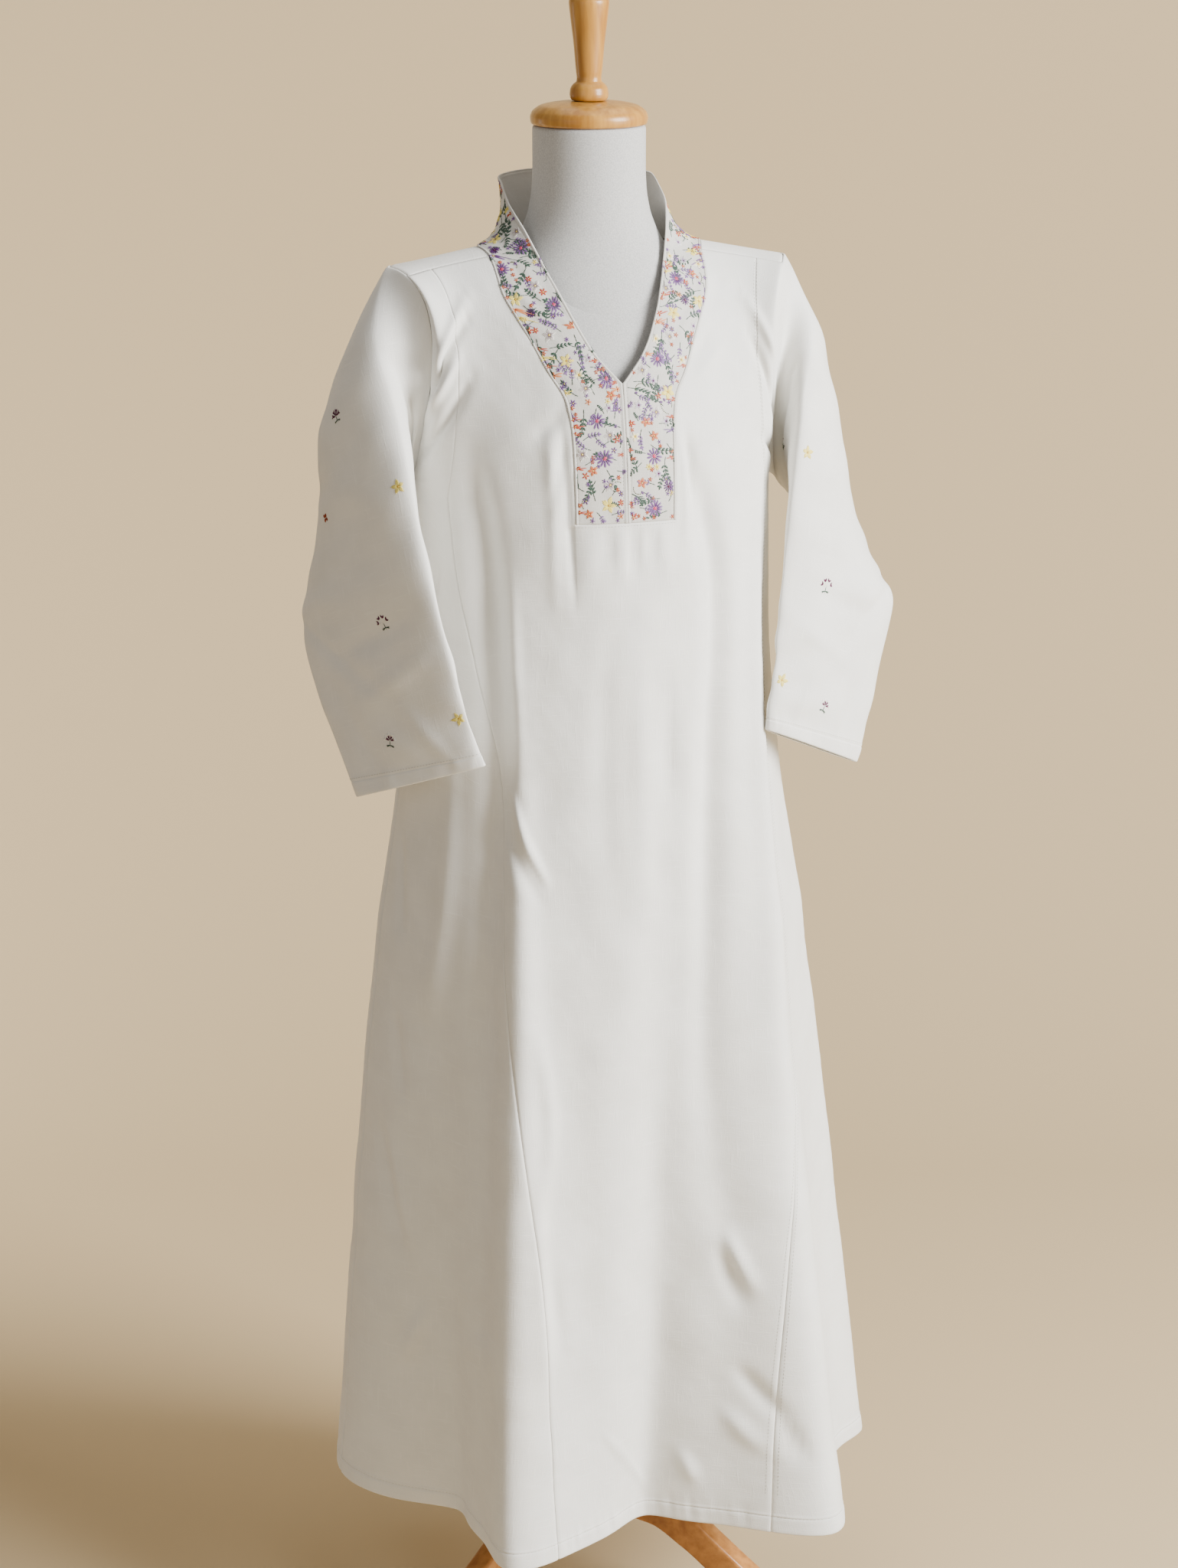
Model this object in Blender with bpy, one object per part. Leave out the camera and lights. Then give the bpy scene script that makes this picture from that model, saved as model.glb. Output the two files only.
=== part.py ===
"""Kurta tunic on a limbless dress form with a turned wooden stand.

Metres, +Z up. The tunic faces -Y, with its own right sleeve at -X. Angles round the
body are degrees from -Y towards +X, so 0 is the centre front and 180 the centre back.
"""
import math

import bmesh
import bpy
import numpy as np
from mathutils import Matrix, Vector

# Cloth
CLOTH = 0.0012          # wall of the cotton and linen cloth
BAND_CLOTH = 0.0016     # faced band at neck and placket
SEAM_GAP = 0.0003       # gap between two pieces at a seam
FOLD_SEAM_GAP = 0.0007  # the same on the middle of the walls where a seam runs along a fold
HEM_Z = 0.180           # level hem above the floor
UNDERARM_Z = 1.190      # where sleeve, front and back meet
SHOULDER_Z = 1.410      # shoulder line where the collar starts
SHOULDER_X = 0.188      # half of the shoulder width
SHOULDER_SLOPE = 0.193  # fall of the shoulder line for each metre outwards
NECK_X = 0.100          # half width of the neck opening at the shoulder line
ARMHOLE_DEPTH = 0.058   # armhole curve in front of and behind the side seam
ARMHOLE_CUT_IN = 0.018  # armhole curve inside the line from underarm to shoulder
SEAM_FORWARD = 0.86     # the shoulder seam lies this far up the front
FRONT_ROUND = 1.6       # how soon the front leaves the upright towards the shoulder
BACK_ROUND = 2.6
TOP_ROUND = 1.8

# Body rings: height, half width, depth in front, depth behind
BODY_RINGS = (
    (0.180, 0.262, 0.205, 0.205),
    (0.500, 0.236, 0.183, 0.180),
    (0.750, 0.210, 0.165, 0.152),
    (0.930, 0.184, 0.150, 0.128),
    (1.060, 0.174, 0.142, 0.118),
    (1.190, 0.172, 0.134, 0.110),
)

# Folds: name, angle at the top, angle at the hem, spread before and after the fold in
# degrees, height where it starts, and how far it stands out at the hem (hollows below 0)
FOLDS = (
    ("side hollow right", -66, -58, 22, 12, 1.16, -0.046),
    ("centre column", -42, -31, 9, 14, 1.15, 0.054),
    ("centre hollow", 19, 4, 14, 13, 1.20, -0.040),
    ("front ridge left", 50, 37, 12, 15, 1.15, 0.086),
    ("side ridge left", 82, 80, 7, 14, 1.00, 0.026),
    ("back hollow left", 112, 118, 14, 14, 1.05, -0.024),
    ("back ridge left", 140, 143, 14, 15, 1.12, 0.034),
    ("back hollow", 176, 172, 16, 16, 1.12, -0.026),
    ("back ridge right", -150, -148, 15, 14, 1.12, 0.036),
    ("back hollow right", -124, -122, 13, 14, 1.05, -0.022),
)
FOLD_GROWTH = 0.75      # below 1 a fold opens early, above 1 near the hem

# Princess seams: height, angle
SEAM_RIGHT = ((0.18, -22.0), (0.42, -26.3), (0.60, -33.0), (0.75, -39.0), (0.93, -46.0), (1.03, -55.0),
              (1.12, -63.0), (1.19, -67.0))
SEAM_LEFT = ((0.18, 28.4), (0.29, 31.0), (0.46, 37.5), (0.60, 46.0), (0.72, 53.0), (0.95, 60.0),
             (1.19, 69.0))
SEAM_TOP_ANGLE = 66.0   # angle of both princess seams at the shoulder seam

# Band and placket: height, half width of the outer edge
BAND_OUTER = ((1.173, 0.0470), (1.250, 0.0480), (1.282, 0.0520), (1.305, 0.0640),
              (1.335, 0.0780), (1.355, 0.0880), (1.376, 0.0970), (1.4005, 0.1000))
PLACKET_BOTTOM_Z = 1.173
V_POINT_Z = 1.297
PLACKET_SLIT = 0.0006   # half of the slit down the placket
# Neck edge of the band on the chest: share of the way from the V to the shoulder, x, z
BAND_INNER = ((0.00, 0.0006, 1.297), (0.30, 0.0225, 1.323), (0.60, 0.0360, 1.348), (1.00, 0.0530, 1.388))
# Top edge of the collar from there to the centre back: x, y, z
COLLAR_TOP = ((0.0660, -0.0250, 1.424), (0.0740, 0.0100, 1.449), (0.0735, 0.0480, 1.466),
              (0.0450, 0.0740, 1.470), (0.0006, 0.0840, 1.471))
NECK_SHARE = 0.562      # neck opening at the shoulder line, as a share of the half width
NECK_BACK_W = 0.70      # height of the back neckline on the back
ARMHOLE_SHARE = 0.9995  # the back's edge at the armhole, as a share of the half width
SHOULDER_SEAM_STEP = 0.010   # the shoulder seam's gap, as a share of the way up
BAND_PROUD = 0.0004     # the collar swells this much between its edges

# Sleeves, from the armhole to the cuff: overarm crease x, y, z, underarm edge x, y, z, and
# the depth of the tube between its two layers. The left one is given as if it were a right one.
SLEEVE_RIGHT = (
    (-0.1885, 0.0000, 1.3930, -0.1730, 0.0000, 1.1900, 0.100),
    (-0.2070, -0.0450, 1.3350, -0.2050, 0.0300, 1.1650, 0.088),
    (-0.2000, -0.0700, 1.2800, -0.2350, 0.0480, 1.1300, 0.070),
    (-0.1920, -0.0950, 1.2100, -0.2550, 0.0500, 1.0950, 0.050),
    (-0.1820, -0.1120, 1.1400, -0.2660, 0.0450, 1.0650, 0.038),
    (-0.1700, -0.1260, 1.0800, -0.2690, 0.0360, 1.0420, 0.032),
    (-0.1570, -0.1340, 1.0200, -0.2590, 0.0080, 0.9850, 0.028),
    (-0.1370, -0.1420, 0.9560, -0.2350, -0.0400, 0.9050, 0.024),
)
SLEEVE_LEFT = (
    (-0.1885, 0.0000, 1.3930, -0.1730, 0.0000, 1.1900, 0.100),
    (-0.1980, -0.0400, 1.3350, -0.2020, 0.0300, 1.1650, 0.072),
    (-0.1920, -0.0620, 1.2800, -0.2420, 0.0350, 1.1300, 0.060),
    (-0.1800, -0.0780, 1.2100, -0.2720, 0.0200, 1.1050, 0.046),
    (-0.1680, -0.0900, 1.1400, -0.2920, -0.0020, 1.0780, 0.036),
    (-0.1600, -0.0980, 1.0800, -0.2990, -0.0200, 1.0600, 0.030),
    (-0.1520, -0.1060, 1.0200, -0.2810, -0.0350, 0.9900, 0.027),
    (-0.1430, -0.1120, 0.9620, -0.2545, -0.0520, 0.9050, 0.024),
)
SLEEVE_CLEAR = 0.0012   # the sleeve's first ring lies this far outside the armhole
SLEEVE_HEAD = 0.005     # the sleeve head stands away from the body just past the seam

# Dress form and stand
NECK_RADIUS = 0.0521
NECK_TOP_Z = 1.5165
FORM_GAP = 0.0075       # air between form and cloth
FORM_REST_GAP = 0.0012  # the same along the shoulder line, where the cloth rests
CAP_RADIUS = 0.0535
CAP_Z = (1.517, 1.538)
FINIAL = ((1.5383, 0.0100), (1.5390, 0.0160), (1.5440, 0.0177), (1.5490, 0.0172), (1.5545, 0.0140),
          (1.5570, 0.0114), (1.5620, 0.0117), (1.5900, 0.0143), (1.6220, 0.0180), (1.6280, 0.0182),
          (1.6300, 0.0172))
FORM_RINGS = ((0.760, 0.140, 0.098, 0.094), (0.775, 0.152, 0.108, 0.102), (0.840, 0.156, 0.112, 0.106),
              (0.950, 0.122, 0.092, 0.086), (1.010, 0.117, 0.090, 0.084), (1.100, 0.140, 0.112, 0.094),
              (1.150, 0.152, 0.122, 0.100))
FORM_SHARES = (0.16, 0.30, 0.44, 0.58, 0.70, 0.80, 0.88, 0.94, 0.975)   # its rings up the chest
FORM_WIDTH_SHARE = 0.87  # width of the form at the armholes, as a share of the cloth's
POLE_RADIUS = 0.014
HUB_RADIUS = 0.034
HUB_Z = (0.105, 0.160)
LEG_ANGLES = (-155.0, -35.0, 85.0)   # degrees from +X
LEG_WIDTH = 0.026
LEG_PATH = ((0.0343, 0.143), (0.070, 0.141), (0.105, 0.124), (0.141, 0.095), (0.180, 0.064),
            (0.215, 0.039), (0.250, 0.026))
LEG_DEPTHS = (0.036, 0.040, 0.043, 0.042, 0.040, 0.038, 0.026)
FOOT_LENGTH = 0.030


def smooth_table(table, key, column):
    """A value read from a table on a smooth curve with no overshoot."""
    xs = np.array([row[0] for row in table], float)
    ys = np.array([row[column] for row in table], float)
    steps = np.diff(ys) / np.diff(xs)
    slopes = np.empty_like(ys)
    slopes[0], slopes[-1] = steps[0], steps[-1]
    before, after = steps[:-1], steps[1:]
    same = before * after > 0
    slopes[1:-1] = np.where(same, 2 * before * after / np.where(same, before + after, 1.0), 0.0)
    key = np.clip(np.asarray(key, float), xs[0], xs[-1])
    i = np.clip(np.searchsorted(xs, key, side="right") - 1, 0, len(xs) - 2)
    h = xs[i + 1] - xs[i]
    t = (key - xs[i]) / h
    rise = ys[i] * (1 + 2 * t) * (1 - t) ** 2 + ys[i + 1] * t * t * (3 - 2 * t)
    return rise + h * (slopes[i] * t * (1 - t) ** 2 + slopes[i + 1] * t * t * (t - 1))


def along(points, t):
    """Points on a smooth curve through a few given points, t from 0 to 1."""
    points = np.array(points, float)
    gaps = np.r_[0.0, np.cumsum(np.linalg.norm(np.diff(points, axis=0), axis=1))]
    rows = np.c_[gaps / gaps[-1], points]
    return np.stack([smooth_table(rows, t, c + 1) for c in range(points.shape[1])], axis=-1)


def turn_between(a, b):
    """Smallest signed turn from angle b to angle a, in degrees."""
    return (a - b + 180.0) % 360.0 - 180.0


def ring_radius(phi, z):
    """Distance of the cloth from the axis, at an angle and a height under the armholes."""
    half, front, back = (smooth_table(BODY_RINGS, z, c) for c in (1, 2, 3))
    sin, cos = np.sin(np.radians(phi)), np.cos(np.radians(phi))
    depth = np.where(cos >= 0, front, back)
    radius = 1.0 / np.sqrt((sin / half) ** 2 + (cos / depth) ** 2)
    for _, top_angle, hem_angle, before, after, start, depth_at_hem in FOLDS:
        fall = np.clip((start - z) / (start - HEM_Z), 0.0, 1.0)
        centre = top_angle + (hem_angle - top_angle) * fall
        off = turn_between(phi, centre)
        spread = np.where(off < 0, before, after)
        radius = radius + depth_at_hem * fall ** (1.0 + FOLD_GROWTH) * np.exp(-0.5 * (off / spread * 1.6) ** 2)
    return radius


def ring_point(phi, z):
    r = ring_radius(phi, z)
    return np.stack([r * np.sin(np.radians(phi)), -r * np.cos(np.radians(phi)), z + 0.0 * r], axis=-1)


def armhole(w, front):
    """The armhole's edge at the wearer's left, w from 0 under the arm to 1 on the shoulder."""
    side = smooth_table(BODY_RINGS, UNDERARM_Z, 1)
    x = side + (SHOULDER_X - side) * w - ARMHOLE_CUT_IN * np.sin(np.pi * w)
    sign = -1.0 if front else 1.0
    return x, sign * ARMHOLE_DEPTH * np.sin(np.pi * w) ** 0.8


def upper_point(phi, w):
    """A point of the chest or the upper back: w is 0 at the underarm, 1 on the shoulder line."""
    phi, w = np.broadcast_arrays(np.asarray(phi, float), np.asarray(w, float))
    side = smooth_table(BODY_RINGS, UNDERARM_Z, 1)
    base = ring_point(phi, np.full(phi.shape, UNDERARM_Z))
    front = np.cos(np.radians(phi)) >= 0
    edge = armhole(w, True)[0]
    x = base[..., 0] * edge / side
    top = SHOULDER_Z - SHOULDER_SLOPE * (np.sqrt(x * x + 0.0004) - NECK_X)
    z = UNDERARM_Z + (top - UNDERARM_Z) * (1 - (1 - w) ** TOP_ROUND)
    power = np.where(front, FRONT_ROUND, BACK_ROUND)
    bulge = ARMHOLE_DEPTH * np.sin(np.pi * w) ** 0.8 * np.abs(x / edge) ** 8
    y = base[..., 1] * (1 - w ** power) + np.where(front, -bulge, bulge)
    return np.stack([x, y, z], axis=-1)


def sheet(name, points, colour, thickness=CLOTH, keep=None, closed=False):
    """A wall of cloth whose middle is a grid of points, as rows of columns."""
    rows, columns = points.shape[:2]
    mesh = bmesh.new()
    verts = [[mesh.verts.new(p) for p in row] for row in points]
    for i in range(rows - 1):
        for j in range(columns if closed else columns - 1):
            if keep is None or keep[i, j]:
                k = (j + 1) % columns
                mesh.faces.new((verts[i][j], verts[i][k], verts[i + 1][k], verts[i + 1][j]))
    bmesh.ops.delete(mesh, geom=[v for v in mesh.verts if not v.link_faces], context='VERTS')
    obj = finish(name, mesh, colour, 0.85)
    wall = obj.modifiers.new("wall", 'SOLIDIFY')
    wall.thickness = thickness
    wall.offset = 0.0
    return obj


def finish(name, mesh, colour, roughness):
    """One named object with its own material."""
    data = bpy.data.meshes.new(name)
    mesh.to_mesh(data)
    mesh.free()
    data.shade_smooth()
    data.set_sharp_from_angle(angle=math.radians(40))
    obj = bpy.data.objects.new(name, data)
    bpy.context.scene.collection.objects.link(obj)
    material = bpy.data.materials.new(name)
    material.use_nodes = True
    shader = material.node_tree.nodes["Principled BSDF"]
    shader.inputs["Base Color"].default_value = (*colour, 1.0)
    shader.inputs["Roughness"].default_value = roughness
    data.materials.append(material)
    return obj


LINEN = (0.74, 0.72, 0.67)
BAND = (0.66, 0.63, 0.57)
JERSEY = (0.50, 0.49, 0.48)
WOOD = (0.62, 0.38, 0.17)
DARK_WOOD = (0.30, 0.16, 0.07)
FRONT_ROWS = 22         # rows of cloth from the hem to the underarm
CHEST_ROWS = 10         # rows from there to the shoulder seam
RIDGE_ROWS = 3          # rows from the shoulder line forward to its seam


def share_angle(share, front):
    """Angle on the underarm ring of a point at a share of the half width."""
    side, ahead, behind = (smooth_table(BODY_RINGS, UNDERARM_Z, c) for c in (1, 2, 3))
    depth = ahead if front else -behind
    rest = np.sqrt(np.maximum(0.0, 1 - np.asarray(share, float) ** 2))
    return np.degrees(np.arctan2(side * np.asarray(share, float), depth * rest))


def chest_at(x, z):
    """Depth of the cloth's middle on the chest, at x across and z up."""
    x, z = np.broadcast_arrays(np.asarray(x, float), np.asarray(z, float))
    side = smooth_table(BODY_RINGS, UNDERARM_Z, 1)
    top = SHOULDER_Z - SHOULDER_SLOPE * (np.sqrt(x * x + 0.0004) - NECK_X)
    part = np.clip((z - UNDERARM_Z) / (top - UNDERARM_Z), 0.0, 1.0)
    w = 1 - (1 - part) ** (1 / TOP_ROUND)
    share = np.clip(x / armhole(w, True)[0], -1.0, 1.0)
    above = upper_point(share_angle(share, True), w)[..., 1]
    ring = share_angle(np.clip(x / side, -1.0, 1.0), True)
    below = ring_point(ring, z)
    return np.where(z < UNDERARM_Z, below[..., 1], above)


def seam_angle(seam, z):
    return smooth_table(seam, z, 1)


def trim(angle, z, by):
    """Moves an angle by a distance along the cloth."""
    return angle + np.degrees(by / ring_radius(angle, z))


def front_rows():
    """Heights below the underarm, then shares of the way up to the shoulder seam."""
    low = HEM_Z + (UNDERARM_Z - HEM_Z) * np.linspace(0, 1, FRONT_ROWS + 1)
    point = v_point_w()
    above = point + (SEAM_FORWARD - point) * np.linspace(0, 1, CHEST_ROWS - 2)[1:]
    return low, np.r_[point * np.linspace(0, 1, 4)[1:], above]


def v_point_w():
    """How far up the front the point of the V lies, on the band's outer edge."""
    x = smooth_table(BAND_OUTER, V_POINT_Z, 1)
    top = SHOULDER_Z - SHOULDER_SLOPE * (np.sqrt(x * x + 0.0004) - NECK_X)
    return 1 - (1 - (V_POINT_Z - UNDERARM_Z) / (top - UNDERARM_Z)) ** (1 / TOP_ROUND)


def panel_grid(left, right, columns, low, high, tops):
    """Points between two angles that change with height; tops are the two angles at the top."""
    u = np.linspace(0, 1, columns + 1)
    rows = []
    for z in low:
        a, b = left(z), right(z)
        rows.append(ring_point(a + (b - a) * u, np.full(u.shape, z)))
    a0, b0 = left(UNDERARM_Z), right(UNDERARM_Z)
    for w in high:
        share = w / SEAM_FORWARD
        a, b = a0 + (tops[0] - a0) * share, b0 + (tops[1] - b0) * share
        rows.append(upper_point(a + (b - a) * u, np.full(u.shape, w)))
    return np.array(rows)


def build_front_centre():
    """The centre front: whole below the placket, split by the band above it."""
    half = SEAM_GAP / 2
    low, high = front_rows()
    low = np.sort(np.r_[low[low < PLACKET_BOTTOM_Z - 0.02], PLACKET_BOTTOM_Z - 0.0045, PLACKET_BOTTOM_Z - half])
    sides, middle = 7, 6
    rows, keep = [], []
    slot_x = BAND_OUTER[0][1] + half
    for z in low:
        a = trim(seam_angle(SEAM_RIGHT, z), z, FOLD_SEAM_GAP / 2)
        b = trim(seam_angle(SEAM_LEFT, z), z, -FOLD_SEAM_GAP / 2)
        s = np.degrees(np.arctan2(slot_x, -chest_at(slot_x, min(z, PLACKET_BOTTOM_Z))))
        s = s * (0.55 + 0.45 * (z - HEM_Z) / (PLACKET_BOTTOM_Z - HEM_Z))
        angles = np.r_[np.linspace(a, -s, sides + 1), np.linspace(-s, s, middle + 1)[1:-1],
                       np.linspace(s, b, sides + 1)]
        rows.append(ring_point(angles, np.full(angles.shape, z)))
        keep.append(np.ones(len(angles), bool))
    keep[-1][sides:sides + middle] = False
    high = np.r_[0.0, high]
    a0 = trim(seam_angle(SEAM_RIGHT, UNDERARM_Z), UNDERARM_Z, half)
    b0 = trim(seam_angle(SEAM_LEFT, UNDERARM_Z), UNDERARM_Z, -half)
    for w in high:
        share = w / SEAM_FORWARD
        a = a0 - (SEAM_TOP_ANGLE + a0) * share
        b = b0 + (SEAM_TOP_ANGLE - b0) * share
        s = slot_angle(w) + np.degrees(half / 0.11)
        angles = np.r_[np.linspace(a, -s, sides + 1), np.linspace(-s, s, middle + 1)[1:-1],
                       np.linspace(s, b, sides + 1)]
        rows.append(upper_point(angles, np.full(angles.shape, w)))
        blank = np.ones(len(angles), bool)
        blank[sides:sides + middle] = False
        keep.append(blank)
    # Two walls come out of one grid, so the columns between them are left empty above
    return sheet("front_centre", np.array(rows), LINEN, keep=np.array(keep))


def slot_angle(w):
    """Angle of the band's outer edge on the chest at a share of the way up."""
    guess = 20.0 * np.ones_like(np.asarray(w, float))
    for _ in range(12):
        point = upper_point(guess, w)
        want = smooth_table(BAND_OUTER, point[..., 2], 1)
        guess = guess + np.degrees((want - point[..., 0]) / 0.13)
    return guess


def build_front_side(name, left):
    """A side front panel, from its princess seam to the side seam and the armhole."""
    half = SEAM_GAP / 2
    low, high = front_rows()
    if left:
        grid = panel_grid(lambda z: trim(seam_angle(SEAM_LEFT, z), z, FOLD_SEAM_GAP / 2),
                          lambda z: trim(90.0, z, -half), 9, low, high, (SEAM_TOP_ANGLE + 0.15, 89.9))
    else:
        grid = panel_grid(lambda z: trim(-90.0, z, half),
                          lambda z: trim(seam_angle(SEAM_RIGHT, z), z, -FOLD_SEAM_GAP / 2), 9, low, high,
                          (-89.9, -SEAM_TOP_ANGLE - 0.15))
    return sheet(name, grid, LINEN)


def neckline_w(share):
    """How far up the back the cloth goes, at a share of the half width."""
    inside = np.clip(np.abs(share) / NECK_SHARE, 0.0, 1.0)
    return NECK_BACK_W + (1 - NECK_BACK_W) * (1 - np.sqrt(1 - inside ** 2))


def build_back():
    """The back, with the part of the shoulders that comes forward to the shoulder seam."""
    half = SEAM_GAP / 2
    low, high = front_rows()
    high = 1 - (1 - np.linspace(0, 1, CHEST_ROWS + 3)[1:]) ** 1.5
    outer = np.linspace(ARMHOLE_SHARE, NECK_SHARE + 0.004, 8)
    inner = np.linspace(NECK_SHARE + 0.004, -NECK_SHARE - 0.004, 13)[1:-1]
    share = np.r_[outer, inner, -outer[::-1]]
    columns = len(share)
    bottom = np.linspace(trim(90.0, HEM_Z, half), trim(270.0, HEM_Z, -half), columns)
    top = share_angle(share, False) % 360.0
    top[0], top[-1] = trim(90.0, UNDERARM_Z, half), trim(270.0, UNDERARM_Z, -half)
    rows, keep = [], []
    for z in low:
        part = ((z - HEM_Z) / (UNDERARM_Z - HEM_Z)) ** 2
        rows.append(ring_point(bottom + (top - bottom) * part, np.full(columns, z)))
        keep.append(np.ones(columns, bool))
    for w in high:
        rows.append(upper_point(share_angle(share, False), w * neckline_w(share)))
        keep.append(np.ones(columns, bool))
    solid = np.ones(columns, bool)
    solid[len(outer) - 1:len(outer) + len(inner)] = False
    keep[-1] = solid
    seam = SEAM_FORWARD + SHOULDER_SEAM_STEP
    for w in np.linspace(1.0, seam, RIDGE_ROWS + 1)[1:]:
        rows.append(upper_point(share_angle(share, True), np.full(columns, w)))
        keep.append(solid)
    return sheet("back", np.array(rows), LINEN, keep=np.array(keep))


def sleeve_grid(table, count, rows):
    """Rings of a sleeve that lies flat from its overarm crease to its underarm edge."""
    t = np.linspace(0, 1, rows)
    values = along(table, t)
    crease, edge, depth = values[:, 0:3], values[:, 3:6], values[:, 6]
    middle = (crease + edge) / 2
    run = np.gradient(middle, axis=0)
    run[0] = (-1.0, 0.0, -0.2)
    across = np.cross(crease - edge, run)
    across /= np.linalg.norm(across, axis=1)[:, None]
    angle = np.linspace(0, 2 * np.pi, count, endpoint=False)
    half = (crease - edge)[:, None, :] / 2
    swell = np.sin(angle) * np.abs(np.sin(angle)) ** 0.15
    lens = middle[:, None, :] + half * np.cos(angle)[None, :, None]
    lens = lens - across[:, None, :] * (swell[None, :, None] * depth[:, None, None] / 2)
    w = (1 + np.cos(angle)) / 2
    x, y = armhole(w, True)
    side = smooth_table(BODY_RINGS, UNDERARM_Z, 1)
    top = SHOULDER_Z - SHOULDER_SLOPE * (np.sqrt(x * x + 0.0004) - NECK_X)
    z = UNDERARM_Z + (top - UNDERARM_Z) * (1 - (1 - w) ** TOP_ROUND)
    hole = np.stack([-x - SLEEVE_CLEAR, np.where(np.sin(angle) >= 0, -y, y), z], axis=-1)
    mix = np.clip(t / 0.16, 0, 1)
    mix = (mix * mix * (3 - 2 * mix))[:, None, None]
    rings = hole[None] * (1 - mix) + lens * mix
    rings[:, :, 0] -= (SLEEVE_HEAD * np.sin(np.pi * np.clip(t / 0.3, 0, 1)))[:, None]
    return rings


def build_sleeve(name, table, left):
    grid = sleeve_grid(table, 20, 17)
    if left:
        grid = grid * np.array((-1.0, 1.0, 1.0))
        grid = grid[:, ::-1]
    return sheet(name, grid, LINEN, closed=True)


def collar_base():
    """The neckline from the shoulder seam round to the centre back, on the wearer's left."""
    rise = np.linspace(SEAM_FORWARD, 1.0, 4)[:-1]
    front = upper_point(share_angle(np.full(3, NECK_SHARE), True), rise)
    share = NECK_SHARE * np.cos(np.linspace(0, np.pi / 2, 9))
    back = upper_point(share_angle(share, False), neckline_w(share))
    return np.r_[front, back]


def band_grid(across):
    """The wearer's left half of placket, neck band and collar, from the placket's bottom up."""
    slit = PLACKET_SLIT
    r = np.linspace(0, 1, across)
    gap = np.degrees(SEAM_GAP / 2 / BAND_OUTER[-1][1])
    rows = []
    foot = PLACKET_BOTTOM_Z + SEAM_GAP / 2
    x = BAND_OUTER[0][1] - SEAM_GAP / 2 + (slit - BAND_OUTER[0][1]) * r
    rows.append(np.stack([x, chest_at(x, np.full(across, foot)), np.full(across, foot)], -1))
    chest = np.r_[0.0, front_rows()[1]]
    point = v_point_w()
    for w in chest:
        edge = upper_point(slot_angle(w) - gap, w)
        share = max(0.0, (w - point) / (SEAM_FORWARD - point))
        if share > 0:
            x_in, z_in = smooth_table(BAND_INNER, share, 1), smooth_table(BAND_INNER, share, 2)
        else:
            x_in, z_in = slit, edge[2]
        x, z = edge[0] + (x_in - edge[0]) * r, edge[2] + (z_in - edge[2]) * r
        row = np.stack([x, chest_at(x, z), z], -1)
        row[0] = edge
        rows.append(row)
    base = collar_base()
    base = base[np.linalg.norm(base - rows[-1][0], axis=1) > 0.004]
    last_inner = rows[-1][-1]
    top = along([last_inner] + [p for p in COLLAR_TOP], np.linspace(0, 1, 17)[1:])
    out = along([rows[-1][0]] + [p for p in base], np.linspace(0, 1, 17)[1:])
    for low_edge, high_edge in zip(out, top):
        low_edge = low_edge + np.array((-SEAM_GAP, 0.0, 0.0009))
        low_edge[0] = max(low_edge[0], slit)
        bow = np.sin(np.pi * r)[:, None] * np.array((BAND_PROUD, 0.0, BAND_PROUD))
        rows.append(low_edge + (high_edge - low_edge) * r[:, None] + bow)
    return np.array(rows)


def build_band(name, left):
    grid = band_grid(5)
    if not left:
        grid = (grid * np.array((-1.0, 1.0, 1.0)))[:, ::-1]
    return sheet(name, grid[:, ::-1], BAND, thickness=BAND_CLOTH)


def lathe(name, profile, colour, roughness, segments=32):
    """A turned piece round the Z axis from heights and radii."""
    mesh = bmesh.new()
    rings = []
    for z, radius in profile:
        made = bmesh.ops.create_circle(mesh, segments=segments, radius=radius, cap_ends=False)["verts"]
        bmesh.ops.translate(mesh, verts=made, vec=(0, 0, z))
        rings.append(made)
    loft(mesh, rings)
    return finish(name, mesh, colour, roughness)


def loft(mesh, rings):
    """Quads between rings of points, with flat ends."""
    count = len(rings[0])
    for low, high in zip(rings[:-1], rings[1:]):
        for j in range(count):
            k = (j + 1) % count
            mesh.faces.new((low[j], low[k], high[k], high[j]))
    mesh.faces.new(rings[0][::-1])
    mesh.faces.new(rings[-1])
    bmesh.ops.recalc_face_normals(mesh, faces=mesh.faces[:])


def form_grid():
    """Rings of the padded torso: plain ellipses below, the inside of the cloth above."""
    share = np.sin(np.radians(np.linspace(-90, 90, 17)[1:-1])) * 0.985
    rows = []
    for z, half, front, back in FORM_RINGS:
        ahead = np.stack([half * share, -front * np.sqrt(1 - share ** 2), np.full(15, z)], -1)
        behind = np.stack([half * share[::-1], back * np.sqrt(1 - share ** 2), np.full(15, z)], -1)
        rows.append(np.r_[ahead, behind])
    gaps = np.interp(FORM_SHARES, (0.0, FORM_SHARES[-2], FORM_SHARES[-1]), (FORM_GAP, FORM_GAP, FORM_REST_GAP))
    inset = CLOTH / 2 + gaps[:, None, None]
    for w in FORM_SHARES:
        spans = share * (FORM_WIDTH_SHARE - 0.04 * w)
        ahead = upper_point(share_angle(spans, True), np.full(15, w))
        behind = upper_point(share_angle(spans[::-1], False), np.full(15, w))
        rows.append(np.r_[ahead, behind])
    grid = np.array(rows)
    lift = np.zeros_like(grid)
    along_ring = np.roll(grid, -1, axis=1) - np.roll(grid, 1, axis=1)
    up = np.gradient(grid, axis=0)
    normal = np.cross(along_ring, up)
    normal /= np.linalg.norm(normal, axis=2)[:, :, None]
    lift[len(FORM_RINGS):] = -normal[len(FORM_RINGS):] * inset
    return grid + lift


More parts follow.
